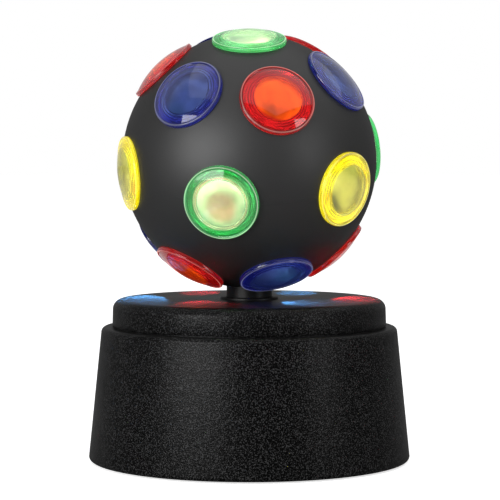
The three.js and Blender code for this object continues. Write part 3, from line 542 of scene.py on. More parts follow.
def grain_group():
    """Moulded leather grain: small pebbles with valleys between them, and pale tops, a random tone
    whose specks also paint in glints of light on the grain.
    """
    speckle_ratio, pebble_height, softness, glint_tops_middle = 1.4, 0.5, 0.5, 0.575
    group, source, sink, coordinates = new_group(
        "moulded grain", (("Scale", 1500), ("Contrast", 0.2)), ("Height", "Painted Glint Tops"))
    pebbles = add_node(
        group, "ShaderNodeTexVoronoi",
        {"Vector": coordinates, "Scale": source["Scale"], "Smoothness": softness},
        "Distance", feature="SMOOTH_F1")
    fine_scale = math_node(group, "MULTIPLY", source["Scale"], speckle_ratio)
    speckle = noise(group, coordinates, fine_scale, 1)
    sunk = math_node(group, "MULTIPLY", pebbles, pebble_height)
    group.links.new(math_node(group, "SUBTRACT", speckle, sunk), sink["Height"])
    low = math_node(group, "SUBTRACT", glint_tops_middle, source["Contrast"])
    high = math_node(group, "ADD", glint_tops_middle, source["Contrast"])
    group.links.new(ramp(group, speckle, low, high), sink["Painted Glint Tops"])
    return group


def handling_group():
    """Slow, faint unevenness of gloss, as on moulded plastic that has been handled."""
    group, source, sink, coordinates = new_group(
        "handled gloss", (("Scale", 60), ("Amount", 0.1)), ("Change",))
    slow = noise(group, coordinates, source["Scale"], 3)
    centred = math_node(group, "SUBTRACT", slow, NOISE_MIDDLE)
    group.links.new(math_node(group, "MULTIPLY", centred, source["Amount"]), sink["Change"])
    return group


GRAIN = grain_group()
HANDLED = handling_group()


# Materials

def new_material(name):
    material = bpy.data.materials.new(name)
    material.use_nodes = True
    return material, material.node_tree, material.node_tree.nodes["Principled BSDF"]


def group_node(tree, group, **values):
    node = tree.nodes.new("ShaderNodeGroup")
    node.node_tree = group
    for title, value in values.items():
        node.inputs[title].default_value = value
    return node.outputs


def bumped(tree, height, depth, strength=1.0):
    return add_node(tree, "ShaderNodeBump",
                    {"Strength": strength, "Distance": depth, "Height": height}, "Normal")


def scaled(colour, share):
    return tuple(channel * share for channel in colour)


def grey(value):
    return (value, value, value)


PLASTIC_UNEVENNESS = 0.08


def plastic(name, dark, light, roughness, grain_scale, grain_depth, contrast=0.2, specular=0.5):
    """Moulded plastic: grain in the surface, paler tops that paint in glints of light, and slightly
    uneven gloss.
    """
    material, tree, shader = new_material(name)
    grain = group_node(tree, GRAIN, Scale=grain_scale, Contrast=contrast)
    handled = group_node(tree, HANDLED, Amount=PLASTIC_UNEVENNESS)
    feed(tree, shader, {
        "Base Color": mixed(tree, grain["Painted Glint Tops"], dark, light),
        "Roughness": math_node(tree, "ADD", roughness, handled["Change"]),
        "Specular IOR Level": specular,
        "Normal": bumped(tree, grain["Height"], grain_depth * MM)})
    return material


def metal(name, colour, roughness):
    """Plated or bare metal, faintly uneven in colour and gloss."""
    spot_scale, unevenness, darkest, depth = 400, 0.15, 0.75, 0.05 * MM
    material, tree, shader = new_material(name)
    change = group_node(tree, HANDLED, Scale=spot_scale, Amount=unevenness)["Change"]
    tone = math_node(tree, "ADD", change, NOISE_MIDDLE)
    feed(tree, shader, {
        "Base Color": mixed(tree, tone, scaled(colour, darkest), colour),
        "Roughness": math_node(tree, "ADD", roughness, change),
        "Metallic": 1,
        "Normal": bumped(tree, change, depth)})
    return material


def lens_plastic(name, deep, clear, ring_share, roughness=0.0):
    """Coloured plastic: clear over the window, deeper in the ring, faint swirls from moulding, with
    a faint painted glow in its own colour and a pale painted highlight along the rim bead.

    Places from the middle outwards are shares of the lens's radius.
    """
    swirl_scale, swirl_low, swirl_high, swirl_dark, swirl_depth = 130, 0.35, 0.7, 0.72, 0.12 * MM
    ring_wander, ring_blend = 0.08, 0.06
    # Where the painted highlight lies on the rim bead, how white it is, and how dim the painted
    # glow is
    bead_rise, bead_fall = (0.95, 0.965), (0.975, 0.99)
    bead_highlight_white, painted_glow_dimming, painted_glow_strength, bump = 0.25, 0.7, 0.5, 0.2
    material, tree, shader = new_material(name)
    share = add_node(tree, "ShaderNodeAttribute", {}, "Fac", attribute_name="radius_share")
    swirl = noise(tree, add_node(tree, "ShaderNodeTexCoord", {}, "Object"), swirl_scale, 2)
    centred = math_node(tree, "SUBTRACT", swirl, NOISE_MIDDLE)
    edge = math_node(tree, "ADD", share, math_node(tree, "MULTIPLY", centred, ring_wander))
    window = mixed(tree, ramp(tree, swirl, swirl_low, swirl_high), clear, scaled(clear, swirl_dark))
    colour = mixed(tree, ramp(tree, edge, ring_share, ring_share + ring_blend), window, deep)
    # pale: the colour of the painted highlight along the rim bead
    pale = tuple(bead_highlight_white + (1 - bead_highlight_white) * channel for channel in clear)
    bead_highlight_band = math_node(
        tree, "SUBTRACT", ramp(tree, share, *bead_rise), ramp(tree, share, *bead_fall))
    # The lens's own colour, dimmed, given off as a painted glow
    painted_glow = mixed(tree, painted_glow_dimming, colour, grey(0.0))
    feed(tree, shader, {
        "Base Color": colour,
        "Transmission Weight": 1,
        "IOR": 1.58,
        "Roughness": roughness,
        "Specular IOR Level": 0.85,
        "Emission Color": mixed(tree, bead_highlight_band, painted_glow, pale),
        "Emission Strength": painted_glow_strength,
        "Normal": bumped(tree, swirl, swirl_depth, bump)})
    return material


def glowing(name, colour, strength):
    """The light source's milky dome, a little brighter in some places than in others."""
    spot_scale, unevenness, middle, dimmest = 500, 0.6, 0.7, 0.6
    material, tree, shader = new_material(name)
    change = group_node(tree, HANDLED, Scale=spot_scale, Amount=unevenness)["Change"]
    lift = math_node(tree, "ADD", change, middle)
    warm = mixed(tree, lift, scaled(colour, dimmest), colour)
    feed(tree, shader, {"Emission Color": warm, "Base Color": warm, "Emission Strength": strength})
    return material


# Name, dark and light colour, roughness, grains per metre and their depth in mm, and then the
# contrast of the grain and the specular level where they aren't the usual ones
PLASTICS = {
    # The case's narrow, pale specks are painted glints on its grain tops
    "case": ("grained black case", grey(0.0005), (0.031, 0.031, 0.0315), 0.3, 1500, 0.08,
             0.035, 0.11),
    "ball": ("satin black ball", grey(0.011), grey(0.016), 0.5, 2600, 0.004, 0.2, 0.7),
    # The neck's deeper, duller black paints in the shade under the ball
    "neck": ("black neck with painted shade", grey(0.003), grey(0.006), 0.38, 2400, 0.004, 0.2, 0.2),
    "liner": ("pale ball liner", (0.77, 0.76, 0.72), (0.83, 0.82, 0.78), 0.6, 1500, 0.02),
    "inner": ("plain black plastic", (0.012, 0.012, 0.013), (0.022, 0.022, 0.024), 0.5, 1700, 0.02,
              0.2, 0.3),
    "knob": ("grey switch knob", (0.06, 0.06, 0.062), (0.085, 0.085, 0.088), 0.45, 2000, 0.02),
    "rubber": ("foot rubber", grey(0.02), grey(0.04), 0.85, 2500, 0.03),
    "nylon": ("gear nylon", (0.72, 0.7, 0.62), (0.82, 0.8, 0.74), 0.45, 2000, 0.01),
    "board": ("lamp board", (0.7, 0.71, 0.68), (0.85, 0.86, 0.84), 0.4, 1500, 0.01),
    "post": ("pale lamp post", (0.6, 0.6, 0.57), (0.7, 0.7, 0.67), 0.5, 1500, 0.01),
    "lead": ("lead jacket", (0.35, 0.01, 0.01), (0.5, 0.02, 0.02), 0.4, 900, 0.02),
    "cell": ("cell jacket", (0.055, 0.075, 0.11), (0.075, 0.1, 0.14), 0.3, 700, 0.004),
    "cell band": ("cell jacket band", (0.55, 0.56, 0.58), (0.66, 0.67, 0.69), 0.3, 700, 0.004),
}
MATERIALS = {look: plastic(*values) for look, values in PLASTICS.items()}
MATERIALS["steel"] = metal("zinc plated steel", (0.62, 0.63, 0.65), roughness=0.35)
MATERIALS["brass"] = metal("bare brass", (0.78, 0.6, 0.28), roughness=0.3)
MATERIALS["light"] = glowing("light source", (1.0, 0.9, 0.7), strength=1.8)

BACK_ROUGHNESS = 0.3
# Colour of the ring, colour of the window, and where the ring starts as a share of the radius
LENS_COLOURS = {
    "red": ((0.34, 0.005, 0.008), (0.68, 0.07, 0.004), 0.6),
    "blue": ((0.012, 0.016, 0.19), (0.026, 0.045, 0.19), 0.72),
    "green": ((0.03, 0.38, 0.09), (0.68, 1.0, 0.56), 0.7),
    "yellow": ((0.9, 0.76, 0.012), (0.42, 0.41, 0.08), 0.66),
}
for colour, (deep, clear, ring_share) in LENS_COLOURS.items():
    MATERIALS[colour] = lens_plastic(f"{colour} lens", deep, clear, ring_share)
    MATERIALS[f"{colour} back"] = lens_plastic(
        f"{colour} lens back", deep, clear, ring_share, BACK_ROUGHNESS)


# Base

def housing_radius_at(level):
    share = (level - RIM_LEVEL) / HOUSING_HEIGHT
    return RIM_RADIUS + (SHELF_RADIUS - RIM_RADIUS) * share


def housing_shell():
    room = RIM_RADIUS - RIM_WALL
    ledge_top = PLATE_TOP + LEDGE_HEIGHT
    wall_start = ledge_top + LEDGE_WIDTH
    under_shelf = SHELF_LEVEL - HOUSING_WALL
    profile = [
        (room, RIM_LEVEL),
        *arc((RIM_RADIUS - RIM_ROUND, RIM_LEVEL + RIM_ROUND), RIM_ROUND, -90, 0, 8),
        *arc((SHELF_RADIUS - SHELF_ROUND, SHELF_LEVEL - SHELF_ROUND), SHELF_ROUND, 0, 90, 10),
        (SHELF_INNER_RADIUS, SHELF_LEVEL),
        (SHELF_INNER_RADIUS, under_shelf),
        (housing_radius_at(under_shelf) - HOUSING_WALL, under_shelf),
        (housing_radius_at(wall_start) - HOUSING_WALL, wall_start),
        (room - LEDGE_WIDTH, ledge_top),
        (room - LEDGE_WIDTH, PLATE_TOP),
        (room, PLATE_TOP),
    ]
    return turned("housing_shell", profile, BASE_SIDES)


def at_switch(left, right, inner, outer, half_height, edge=0.0, name="block"):
    """A block in the rear wall, level with the switch."""
    return block((left, inner, SWITCH_LEVEL - half_height),
                 (right, outer, SWITCH_LEVEL + half_height), edge, name)


def base_housing():
    """The tapered shell with the switch's pocket, slot and two plain marks in its rear wall."""
    shell = housing_shell()
    pad_x, pocket_x, slot_x = mm(11.5, 9, 4.3)
    pad_z, pocket_z, slot_z, pocket_edge = mm(7.5, 5, 1.8, 0.8)
    on_left, on_right, off_x, off_inner, off_outer = mm(3.6, 4.2, -3.9, 0.8, 1.35)
    mark_rise, mark_half, mark_proud = mm(8.2, 1.3, 0.1)
    mark_level = SWITCH_LEVEL + mark_rise
    mark_face = housing_radius_at(mark_level) + mark_proud
    mark_depth = mark_face - POCKET_FLOOR
    pad = at_switch(-pad_x, pad_x, PAD_INNER, POCKET_FLOOR + FIT, pad_z)
    on_mark = block((on_left, POCKET_FLOOR, mark_level - mark_half),
                    (on_right, mark_face, mark_level + mark_half))
    off_mark = turned("off_mark", stepped(off_inner, (off_outer, 0, mark_depth)), 32)
    place(off_mark, Matrix.Rotation(-pi / 2, 4, "X"))
    place(off_mark, Matrix.Translation((off_x, POCKET_FLOOR, mark_level)))
    combine(shell, [pad, on_mark, off_mark], "UNION")
    pocket = at_switch(
        -pocket_x, pocket_x, POCKET_FLOOR, RIM_RADIUS + CUT_RUN, pocket_z, pocket_edge)
    slot = at_switch(-slot_x, slot_x, PAD_INNER - CUT_RUN, POCKET_FLOOR + CUT_RUN, slot_z)
    return combine(shell, [pocket, slot], "DIFFERENCE")


def top_cover():
    skirt = COVER_RADIUS + COVER_DRAFT
    lip = SHELF_INNER_RADIUS - FIT
    inner = COVER_RADIUS - COVER_WALL
    under = COVER_TOP_LEVEL - COVER_WALL
    inner_round = COVER_ROUND - COVER_WALL
    edge = 0.25 * MM
    boss_bottom = 57 * MM
    boss_radius = COVER_HOLE_RADIUS + COVER_BOSS_WALL
    profile = [
        (COVER_HOLE_RADIUS, boss_bottom),
        (boss_radius, boss_bottom),
        (boss_radius, under),
        *arc((inner - inner_round, under - inner_round), inner_round, 90, 0, 5),
        (inner, SHELF_LEVEL + 2 * COVER_LIP_WALL),
        (lip - COVER_LIP_WALL, SHELF_LEVEL + COVER_LIP_WALL),
        (lip - COVER_LIP_WALL, SHELF_LEVEL - COVER_LIP_DEPTH),
        (lip, SHELF_LEVEL - COVER_LIP_DEPTH),
        (lip, SHELF_LEVEL),
        (skirt - SHADOW_DEPTH, SHELF_LEVEL),
        (skirt - SHADOW_DEPTH, SHELF_LEVEL + SHADOW_GAP),
        *arc((skirt - edge, SHELF_LEVEL + SHADOW_GAP + edge), edge, -90, 0, 3),
        *arc((COVER_RADIUS - COVER_ROUND, COVER_TOP_LEVEL - COVER_ROUND), COVER_ROUND, 0, 90, 16),
        (COVER_HOLE_RADIUS, COVER_TOP_LEVEL),
    ]
    shell = turned("cover_shell", profile, BASE_SIDES)
    into_roof = under + COVER_WALL / 2
    pillars = rods(PILLAR_RADIUS, PLATE_TOP, into_roof, PILLAR_PLACES)
    standoffs = rods(STANDOFF_RADIUS, STANDOFF_BOTTOM, into_roof, STANDOFF_PLACES)
    combine(shell, pillars + standoffs, "UNION")
    holes = rods(SCREW_HOLE_RADIUS, PLATE_TOP - CUT_RUN, PLATE_TOP + PILLAR_HOLE_DEPTH,
                 PILLAR_PLACES, HOLE_SIDES)
    holes += rods(SCREW_HOLE_RADIUS, STANDOFF_BOTTOM - CUT_RUN,
                  STANDOFF_BOTTOM + STANDOFF_HOLE_DEPTH, STANDOFF_PLACES, HOLE_SIDES)
    return combine(shell, [merged("screw_holes", holes)], "DIFFERENCE")


def bottom_plate():
    """The round plate with the battery bay, the hinge hood, and rooms for feet, screws and door."""
    chamfer, boss_radius = mm(0.4, 4)
    hood_x, hood_front, hood_top = mm(28.05, -37.3, 7.5)
    lead_radius, lead_start, lead_end, lead_rise = mm(1.3, 27, 33, 0.6)
    door_screw_radius, head_room_top = mm(1.95, 3.1)
    disc = turned("bottom_disc", [
        (0, PLATE_UNDER), (PLATE_RADIUS - chamfer, PLATE_UNDER),
        (PLATE_RADIUS, PLATE_UNDER + chamfer), (PLATE_RADIUS, PLATE_TOP), (0, PLATE_TOP)],
        BASE_SIDES, closed=False)
    in_plate = PLATE_TOP - FIT
    bay_x, bay_y = BAY_HALF_WIDTH + BAY_WALL, BAY_HALF_LENGTH + BAY_WALL
    bay_box = across(bay_x, -bay_y, bay_y, in_plate, BAY_ROOF + BAY_WALL)
    hood = across(hood_x, hood_front, -BAY_HALF_LENGTH, in_plate, hood_top)
    boss = rod(boss_radius, in_plate, DOOR_BOSS_TOP, centre=(0, DOOR_SCREW_Y))
    combine(disc, [bay_box, hood, boss], "UNION")
    below = PLATE_UNDER - CUT_RUN
    door_x, tab_x = DOOR_HALF_WIDTH + FIT, TAB_HALF_WIDTH + FIT
    roll_room = ROLL_RADIUS + FIT
    lead_hole = place(rod(lead_radius, lead_start, lead_end, HOLE_SIDES),
                      Matrix.Rotation(-pi / 2, 4, "X"))
    cuts = [
        across(BAY_HALF_WIDTH, -BAY_HALF_LENGTH, BAY_HALF_LENGTH, below, BAY_ROOF),
        across(door_x, ROLL_Y, DOOR_END + FIT, below, DOOR_INNER + FIT),
        across(tab_x, DOOR_END, TAB_END + FIT, below, DOOR_INNER + FIT),
        across(door_x, ROLL_Y - roll_room, ROLL_Y + roll_room, below, ROLL_LEVEL + roll_room),
        along_x(PIN_RADIUS + FIT, PIN_REACH + FIT, ROLL_Y, ROLL_LEVEL),
        rod(door_screw_radius, below, DOOR_BOSS_TOP + CUT_RUN, HOLE_SIDES, (0, DOOR_SCREW_Y)),
        place(lead_hole, Matrix.Translation((CELL_PITCH, 0, CELL_LEVEL + lead_rise))),
    ]
    for name, radius, top, places, sides in (
            ("screw_holes", SCREW_HOLE_RADIUS, PLATE_TOP + CUT_RUN, PILLAR_PLACES, HOLE_SIDES),
            ("head_rooms", HEAD_ROOM_RADIUS, head_room_top, PILLAR_PLACES, 32),
            ("foot_rooms", FOOT_RADIUS + FIT, FOOT_HEIGHT, FOOT_PLACES, 48)):
        cuts.append(merged(name, rods(radius, below, top, places, sides)))
    return combine(disc, cuts, "DIFFERENCE")


def battery_door():
    """The door panel with its roll and pins, its tab, and a row of finger ribs."""
    edge, tab_overlap, ribs_back, ribs_sunk, head_room_top = mm(0.3, 1.5, 13, 0.1, 2.3)
    panel = across(DOOR_HALF_WIDTH, ROLL_Y, DOOR_END, PLATE_UNDER, DOOR_INNER, edge,
                   "battery_door_panel")
    tab = across(TAB_HALF_WIDTH, DOOR_END - tab_overlap, TAB_END, PLATE_UNDER, DOOR_INNER, edge)
    roll = along_x(ROLL_RADIUS, DOOR_HALF_WIDTH, ROLL_Y, ROLL_LEVEL, 48)
    pins = along_x(PIN_RADIUS, PIN_REACH, ROLL_Y, ROLL_LEVEL)
    ribs = grown("finger_ribs", ribs_plan(), "inner",
                 {"Count": 6, "Pitch": 1.8 * MM, "Rib Length": 22 * MM})
    place(ribs, Matrix.Translation((0, DOOR_END - ribs_back, PLATE_UNDER + ribs_sunk)))
    combine(panel, [tab, roll, pins, ribs], "UNION")
    below, spot = PLATE_UNDER - CUT_RUN, (0, DOOR_SCREW_Y)
    hole = rod(SCREW_HOLE_RADIUS, below, DOOR_INNER + CUT_RUN, HOLE_SIDES, spot)
    room = rod(HEAD_ROOM_RADIUS, below, head_room_top, 32, spot)
    return combine(panel, [hole, room], "DIFFERENCE")


def screw_profile(head_level, head_height, length):
    """A screw that points up, its head below."""
    head, shank, tip, edge = mm(2.5, 1.3, 0.4, 0.35)
    thread, pitch, plain, blunt_end = mm(0.12, 0.8, 0.3, 1)
    top = head_level + head_height
    profile = [(0, head_level), *arc((head - edge, head_level + edge), edge, -90, 0, 4),
               (head, top), (shank, top)]
    for k in range(int((length - blunt_end) / pitch)):
        level = top + plain + k * pitch
        profile += [(shank - thread, level), (shank, level + pitch / 2)]
    return profile + [(tip, top + length), (0, top + length)]


# Radius and height in mm along a foot's sole, from the middle outwards
SOLE = ((0, 0.25), (1.6, 0.25), (1.9, 0), (3.1, 0), (3.3, 0.25), (4.1, 0.25), (4.3, 0))


def foot_profile():
    """A rubber foot whose sole has two shallow rings."""
    edge = 0.4 * MM
    return [
        *[mm(*point) for point in SOLE],
        *arc((FOOT_RADIUS - edge, edge), edge, -90, 0, 4),
        (FOOT_RADIUS, FOOT_HEIGHT), (0, FOOT_HEIGHT),
    ]


def switch_knob():
    """The slide knob with its stem and four finger grooves."""
    inner = POCKET_FLOOR + FIT
    outer = inner + 3.2 * MM
    head_left, head_right, head_z, head_edge = mm(-2, 6, 3.5, 0.35)
    stem_width, stem_length, stem_z = mm(4, 7, 1.5)
    first_groove = -0.4 * MM
    head = at_switch(head_left, head_right, inner, outer, head_z, head_edge, "slide_knob")
    stem = at_switch(0, stem_width, inner - stem_length, inner + FIT, stem_z)
    grooves = grown("knob_grooves", ribs_plan(), "knob", {"Count": 4, "Rib Length": 10 * MM})
    upright = Matrix(((0, 1, 0, 0), (0, 0, 1, 0), (1, 0, 0, 0), (0, 0, 0, 1)))
    place(grooves, Matrix.Translation((first_groove, outer, SWITCH_LEVEL)) @ upright)
    combine(head, [stem], "UNION")
    return combine(head, [grooves], "DIFFERENCE")


def neck_bush():
    bore, barrel, flange = mm(9.5, 10.4, 11.7)
    bottom, top, edge, chamfer = mm(56.5, 66.4, 0.45, 0.2)
    return turned("neck_ring", [
        (bore, bottom), (barrel, bottom), (barrel, COVER_TOP_LEVEL), (flange, COVER_TOP_LEVEL),
        *arc((flange - edge, top - edge), edge, 0, 90, 5),
        (bore + chamfer, top), (bore, top - chamfer)], 96)


# Battery bay

# Radius and height in mm of the pad that meets a cell's nub, above the strip
PAD_STEPS = ((2.2, 0.2), (1.4, 0.8), (0, 0.8))


def contact(name, cells, side):
    """A spring brass strip with a coil spring for a flat cell end, or a raised pad for a nub."""
    spots = [side * (number - 1) * CELL_PITCH for number in cells]
    margin, half_height, edge, pad_radius = mm(6.65, 5.5, 0.15, 2.2)
    strip = block(
        (min(spots) - margin, CONTACT_INNER, CELL_LEVEL - half_height),
        (max(spots) + margin, CONTACT_INNER + CONTACT_THICKNESS, CELL_LEVEL + half_height),
        edge, name)
    parts = []
    towards_cell = Matrix.Rotation(pi / 2, 4, "X")
    for number, spot in zip(cells, spots):
        meets_nub = (number % 2 == 0) == (side > 0)
        if meets_nub:
            profile = [(0, -FIT), (pad_radius, -FIT), *[mm(*point) for point in PAD_STEPS]]
            part = turned("pad", profile, 32, closed=False)
        else:
            part = grown("coil", spring_plan(), "brass", {})
        at_cell = Matrix.Translation((spot, CONTACT_INNER, CELL_LEVEL))
        parts.append(place(part, at_cell @ towards_cell))
    combine(strip, parts, "UNION")
    return strip if side > 0 else place(strip, Matrix.Rotation(pi, 4, "Z"))


# Radius and height in mm along a cell, from its flat end to its nub
CELL_STEPS = (
    (0, 0), (4.6, 0), (4.7, 0.25), (6.6, 0.25), (7.1, 0.5), (7.25, 0.9), (7.25, 36), (7.25, 48.7),
    (7.1, 49.2), (6.5, 49.45), (2.75, 49.5), (2.7, 50.2), (2.4, 50.5), (0, 50.5))


def cell(number):
    """A cell with a steel cap at each end and a plain two-tone jacket."""
    jacket_limit, band_start = mm(6.9, 36)
    profile = [mm(*point) for point in CELL_STEPS]
    piece = turned(f"cell_{number + 1}", profile, 64, closed=False)
    for look in ("steel", "cell", "cell band"):
        piece.data.materials.append(MATERIALS[look])
    for face in piece.data.polygons:
        on_jacket = hypot(face.center.x, face.center.y) > jacket_limit
        face.material_index = 0 if not on_jacket else (2 if face.center.z > band_start else 1)
    nub_rear = number % 2 == 0
    turn = Matrix.Rotation(-pi / 2 if nub_rear else pi / 2, 4, "X")
    start = NUB_TIP - CELL_LENGTH if nub_rear else CELL_LENGTH - NUB_TIP
    spot = ((number - 1) * CELL_PITCH, start, CELL_LEVEL)
    return place(piece, Matrix.Translation(spot) @ turn)


# Lamp inside the ball

POST_TOP = 110.8 * MM
BOARD_TOP = 112.4 * MM
LIGHT_TOP = 121 * MM
LIGHT_RADIUS = 5 * MM


def lamp_post():
    bore, radius, flange = mm(2.8, 4.2, 8)
    bottom, under = mm(40.1, 42.1)
    profile = stepped(bore, (flange, bottom, under), (radius, under, POST_TOP))
    return turned("hollow_post", profile, 48)


def light_board():
    radius, edge = mm(9, 0.2)
    return turned("round_board", [
        (0, POST_TOP), (radius - edge, POST_TOP), (radius, POST_TOP + edge),
        (radius, BOARD_TOP - edge), (radius - edge, BOARD_TOP), (0, BOARD_TOP)], 64, closed=False)


def light_source():
    """The dome on a collar with a chamfered edge."""
    chamfer, collar_height = mm(0.2, 1)
    collar = LIGHT_RADIUS + 0.8 * MM
    collar_top = BOARD_TOP + collar_height
    return turned("milky_dome", [
        (0, BOARD_TOP), (collar, BOARD_TOP), (collar, collar_top - chamfer),
        (collar - chamfer, collar_top), (LIGHT_RADIUS, collar_top),
        *arc((0, LIGHT_TOP - LIGHT_RADIUS), LIGHT_RADIUS, 0, 90, 12)[:-1], (0, LIGHT_TOP)],
        48, closed=False)


# Ball

TO_BALL = Matrix.Translation((0, 0, BALL_CENTRE_LEVEL)) @ Matrix.Rotation(BALL_TILT, 4, "X")


def lens_matrix(azimuth, polar):
    """From a lens's own axes to its place on the tilted ball."""
    return TO_BALL @ Matrix.Rotation(azimuth, 4, "Z") @ Matrix.Rotation(polar, 4, "X")


def lens_places():
    for row, count, polar, turn, colours in LENS_ROWS:
        for k in range(count):
            suffix = f"{row}_{k + 1}" if count > 1 else row
            matrix = lens_matrix(turn + 2 * pi * k / count, polar)
            yield suffix, matrix, colours[k % len(colours)]


def half_ball(upper):
    """Half of the hollow ball. The lower half's lip, inside the seam, keeps light from leaking."""
    inner = BALL_RADIUS - BALL_WALL
    seam = BALL_SEAM / 2
    outer_start = degrees(asin(seam / BALL_RADIUS))
    inner_start = degrees(asin(seam / inner))
    steps = 40
    profile = [
        *arc((0, 0), BALL_RADIUS, outer_start, 90, steps)[:-1], (0, BALL_RADIUS), (0, inner),
        *arc((0, 0), inner, inner_start, 90, steps)[:-1][::-1],
    ]
    shell = turned("ball_upper_half" if upper else "ball_lower_half", profile, BALL_SIDES)
    if upper:
        return shell
    place(shell, Matrix.Rotation(pi, 4, "X"))
    lip_gap, lip_wall, low, high = mm(0.05, 1.5, -9, 1.5)
    lip = inner - lip_gap
    inside = lip - lip_wall
    return combine(shell, [turned("lip", stepped(inside, (lip, low, high)), BALL_SIDES)], "UNION")


def lens_hole(matrix):
    radius = LENS_SPIGOT_RADIUS + FIT
    return place(rod(radius, LENS_SEAT - LENS_RADIUS, BALL_RADIUS + CUT_RUN, 72), matrix)


def neck():
    """The tube from the ball down through the bush to the gear, with a groove for the clip."""
    end, groove, hub, shoulder = mm(46.4, 47, 48.1, 55.25)
    groove_depth = 0.7 * MM
    top = BALL_CENTRE_LEVEL - BALL_RADIUS + BALL_WALL / 2
    inside = NECK_END_RADIUS - groove_depth
    profile = stepped(0, (NECK_END_RADIUS, end, groove), (inside, groove, hub),
                      (NECK_END_RADIUS, hub, shoulder), (NECK_RADIUS, shoulder, top))
    return turned("neck", profile, 96, closed=False)


# Each ring on a lens's hollow side: how far in from the spigot's bore, and its level, in mm
LENS_RINGS = ((0, 0.2), (0.9, 0.6), (1.8, 1.0))
# Towards the middle of the hollow: share of the bore's radius, and mm short of its deepest
LENS_HOLLOW = ((0.6, 0.45), (0.3, 0.1))


def lens_profile():
    """A lens with a rim bead, a shallow dome, and stepped rings on its hollow side."""
    bead, corner, ring_width = mm(0.55, 0.3, 0.65)
    dome_reach, dome_run, dome_drop = mm(13.6, 0.1, 0.2)
    seat_level, spigot_chamfer, window_wall = mm(0.72, 0.2, 1.7)
    window_inset, window_level = mm(2.7, 1.5)
    dome_sphere = (dome_reach ** 2 + LENS_DOME ** 2) / (2 * LENS_DOME)
    spread = degrees(asin(dome_reach / dome_sphere))
    dome_centre = (0, LENS_EDGE + LENS_DOME - dome_sphere)
    inner = LENS_SPIGOT_RADIUS - LENS_SPIGOT_WALL
    hollow = LENS_EDGE + LENS_DOME - window_wall
    rings = []
    for inset, level in LENS_RINGS:
        radius = inner - inset * MM
        rings += [(radius, level * MM), (radius - ring_width, level * MM)]
    return [
        (0, LENS_EDGE + LENS_DOME),
        *arc(dome_centre, dome_sphere, 90, 90 - spread, 16)[1:],
        (dome_reach + dome_run, LENS_EDGE - dome_drop),
        *arc((LENS_RADIUS - bead, LENS_EDGE - bead), bead, 100, 0, 6),
        *arc((LENS_RADIUS - corner, FIT + corner), corner, 0, -90, 3),
        (LENS_SPIGOT_RADIUS, seat_level),
        (LENS_SPIGOT_RADIUS, spigot_chamfer - LENS_SPIGOT_DEPTH),
        (LENS_SPIGOT_RADIUS - spigot_chamfer, -LENS_SPIGOT_DEPTH),
        (inner, -LENS_SPIGOT_DEPTH),
        *rings,
        (inner - window_inset, window_level),
        *[(inner * share, hollow - drop * MM) for share, drop in LENS_HOLLOW],
        (0, hollow),
    ]


def face_inside(shell):
    """The shell's inner face gets the pale liner, and the neck a deeper black than the ball, which
    paints in the shade under it.
    """
    shell.data.materials.append(MATERIALS["liner"])
    shell.data.materials.append(MATERIALS["neck"])
    centre = Vector((0, 0, BALL_CENTRE_LEVEL))
    limit, facing_in = BALL_RADIUS - BALL_WALL / 2, -0.5
    for face in shell.data.polygons:
        outward = face.center - centre
        if outward.length < limit and outward.normalized().dot(face.normal) < facing_in:
            face.material_index = 1
        # Neck faces: darker than the ball, painted shade under it
        elif outward.length > BALL_RADIUS:
            face.material_index = 2


# The whole lamp

def numbered(stem, count):
    return [f"{stem}_{k + 1}" for k in range(count)]


def build_base():
    dress(base_housing(), "base", ["base_housing"], "case_black", "case")
    dress(top_cover(), "base", ["top_cover"], "case_black", "case")
    dress(bottom_plate(), "base", ["bottom_plate"], "inner_black", "inner")
    # The bush takes the neck's darker black, painted shade under the ball
    dress(neck_bush(), "base", ["neck_bush"], "inner_black", "neck")
    feet = grown("rubber_feet", feet_plan(), "rubber", {}, foot_profile())
    dress(feet, "base", numbered("foot", FOOT_COUNT), "foot_rubber")
    screws = screws_plan()
    long_screw = screw_profile(CASE_HEAD_LEVEL, head_height=1.5 * MM, length=13 * MM)
    case_screws = grown("cross_head_screws", screws, "steel", {}, long_screw)
    dress(case_screws, "base", numbered("case_screw", PILLAR_COUNT), "steel")
    short_screw = screw_profile(PLATE_UNDER, head_height=0.9 * MM, length=6 * MM)
    door_screw = grown("door_cross_head_screw", screws, "steel", {
        "Count": 1, "Reach": DOOR_SCREW_Y, "Start Angle": pi / 2,
        "Head Level": PLATE_UNDER, "Recess Depth": 0.6 * MM}, short_screw)
    dress(door_screw, "door", ["battery_door_screw"], "steel")
    dress(battery_door(), "door", ["battery_door"], "inner_black", "inner")
    dress(switch_knob(), "switch", ["switch_knob"], "inner_black", "knob")


# Node, the cells that it meets, and its side: 1 at the rear, -1 at the front
CONTACTS = (
    ("contact_rear_pair", (0, 1), 1), ("contact_rear_single", (2,), 1),
    ("contact_front_single", (0,), -1), ("contact_front_pair", (1, 2), -1),
)


def build_battery_bay():
    for number in range(CELL_COUNT):
        dress(cell(number), "base", [f"battery_cell_{number + 1}"], "cell_jacket")
    for node, cells, side in CONTACTS:
        strip = contact(node.replace("contact", "strip"), cells, side)
        dress(strip, "base", [node], "contact_brass", "brass")


def build_lamp():
    dress(lamp_post(), "base", ["lamp_post"], "inner_black", "post")
    dress(light_board(), "base", ["light_board"], "board_white", "board")
    dress(light_source(), "base", ["light_source"], "light_glow", "light")


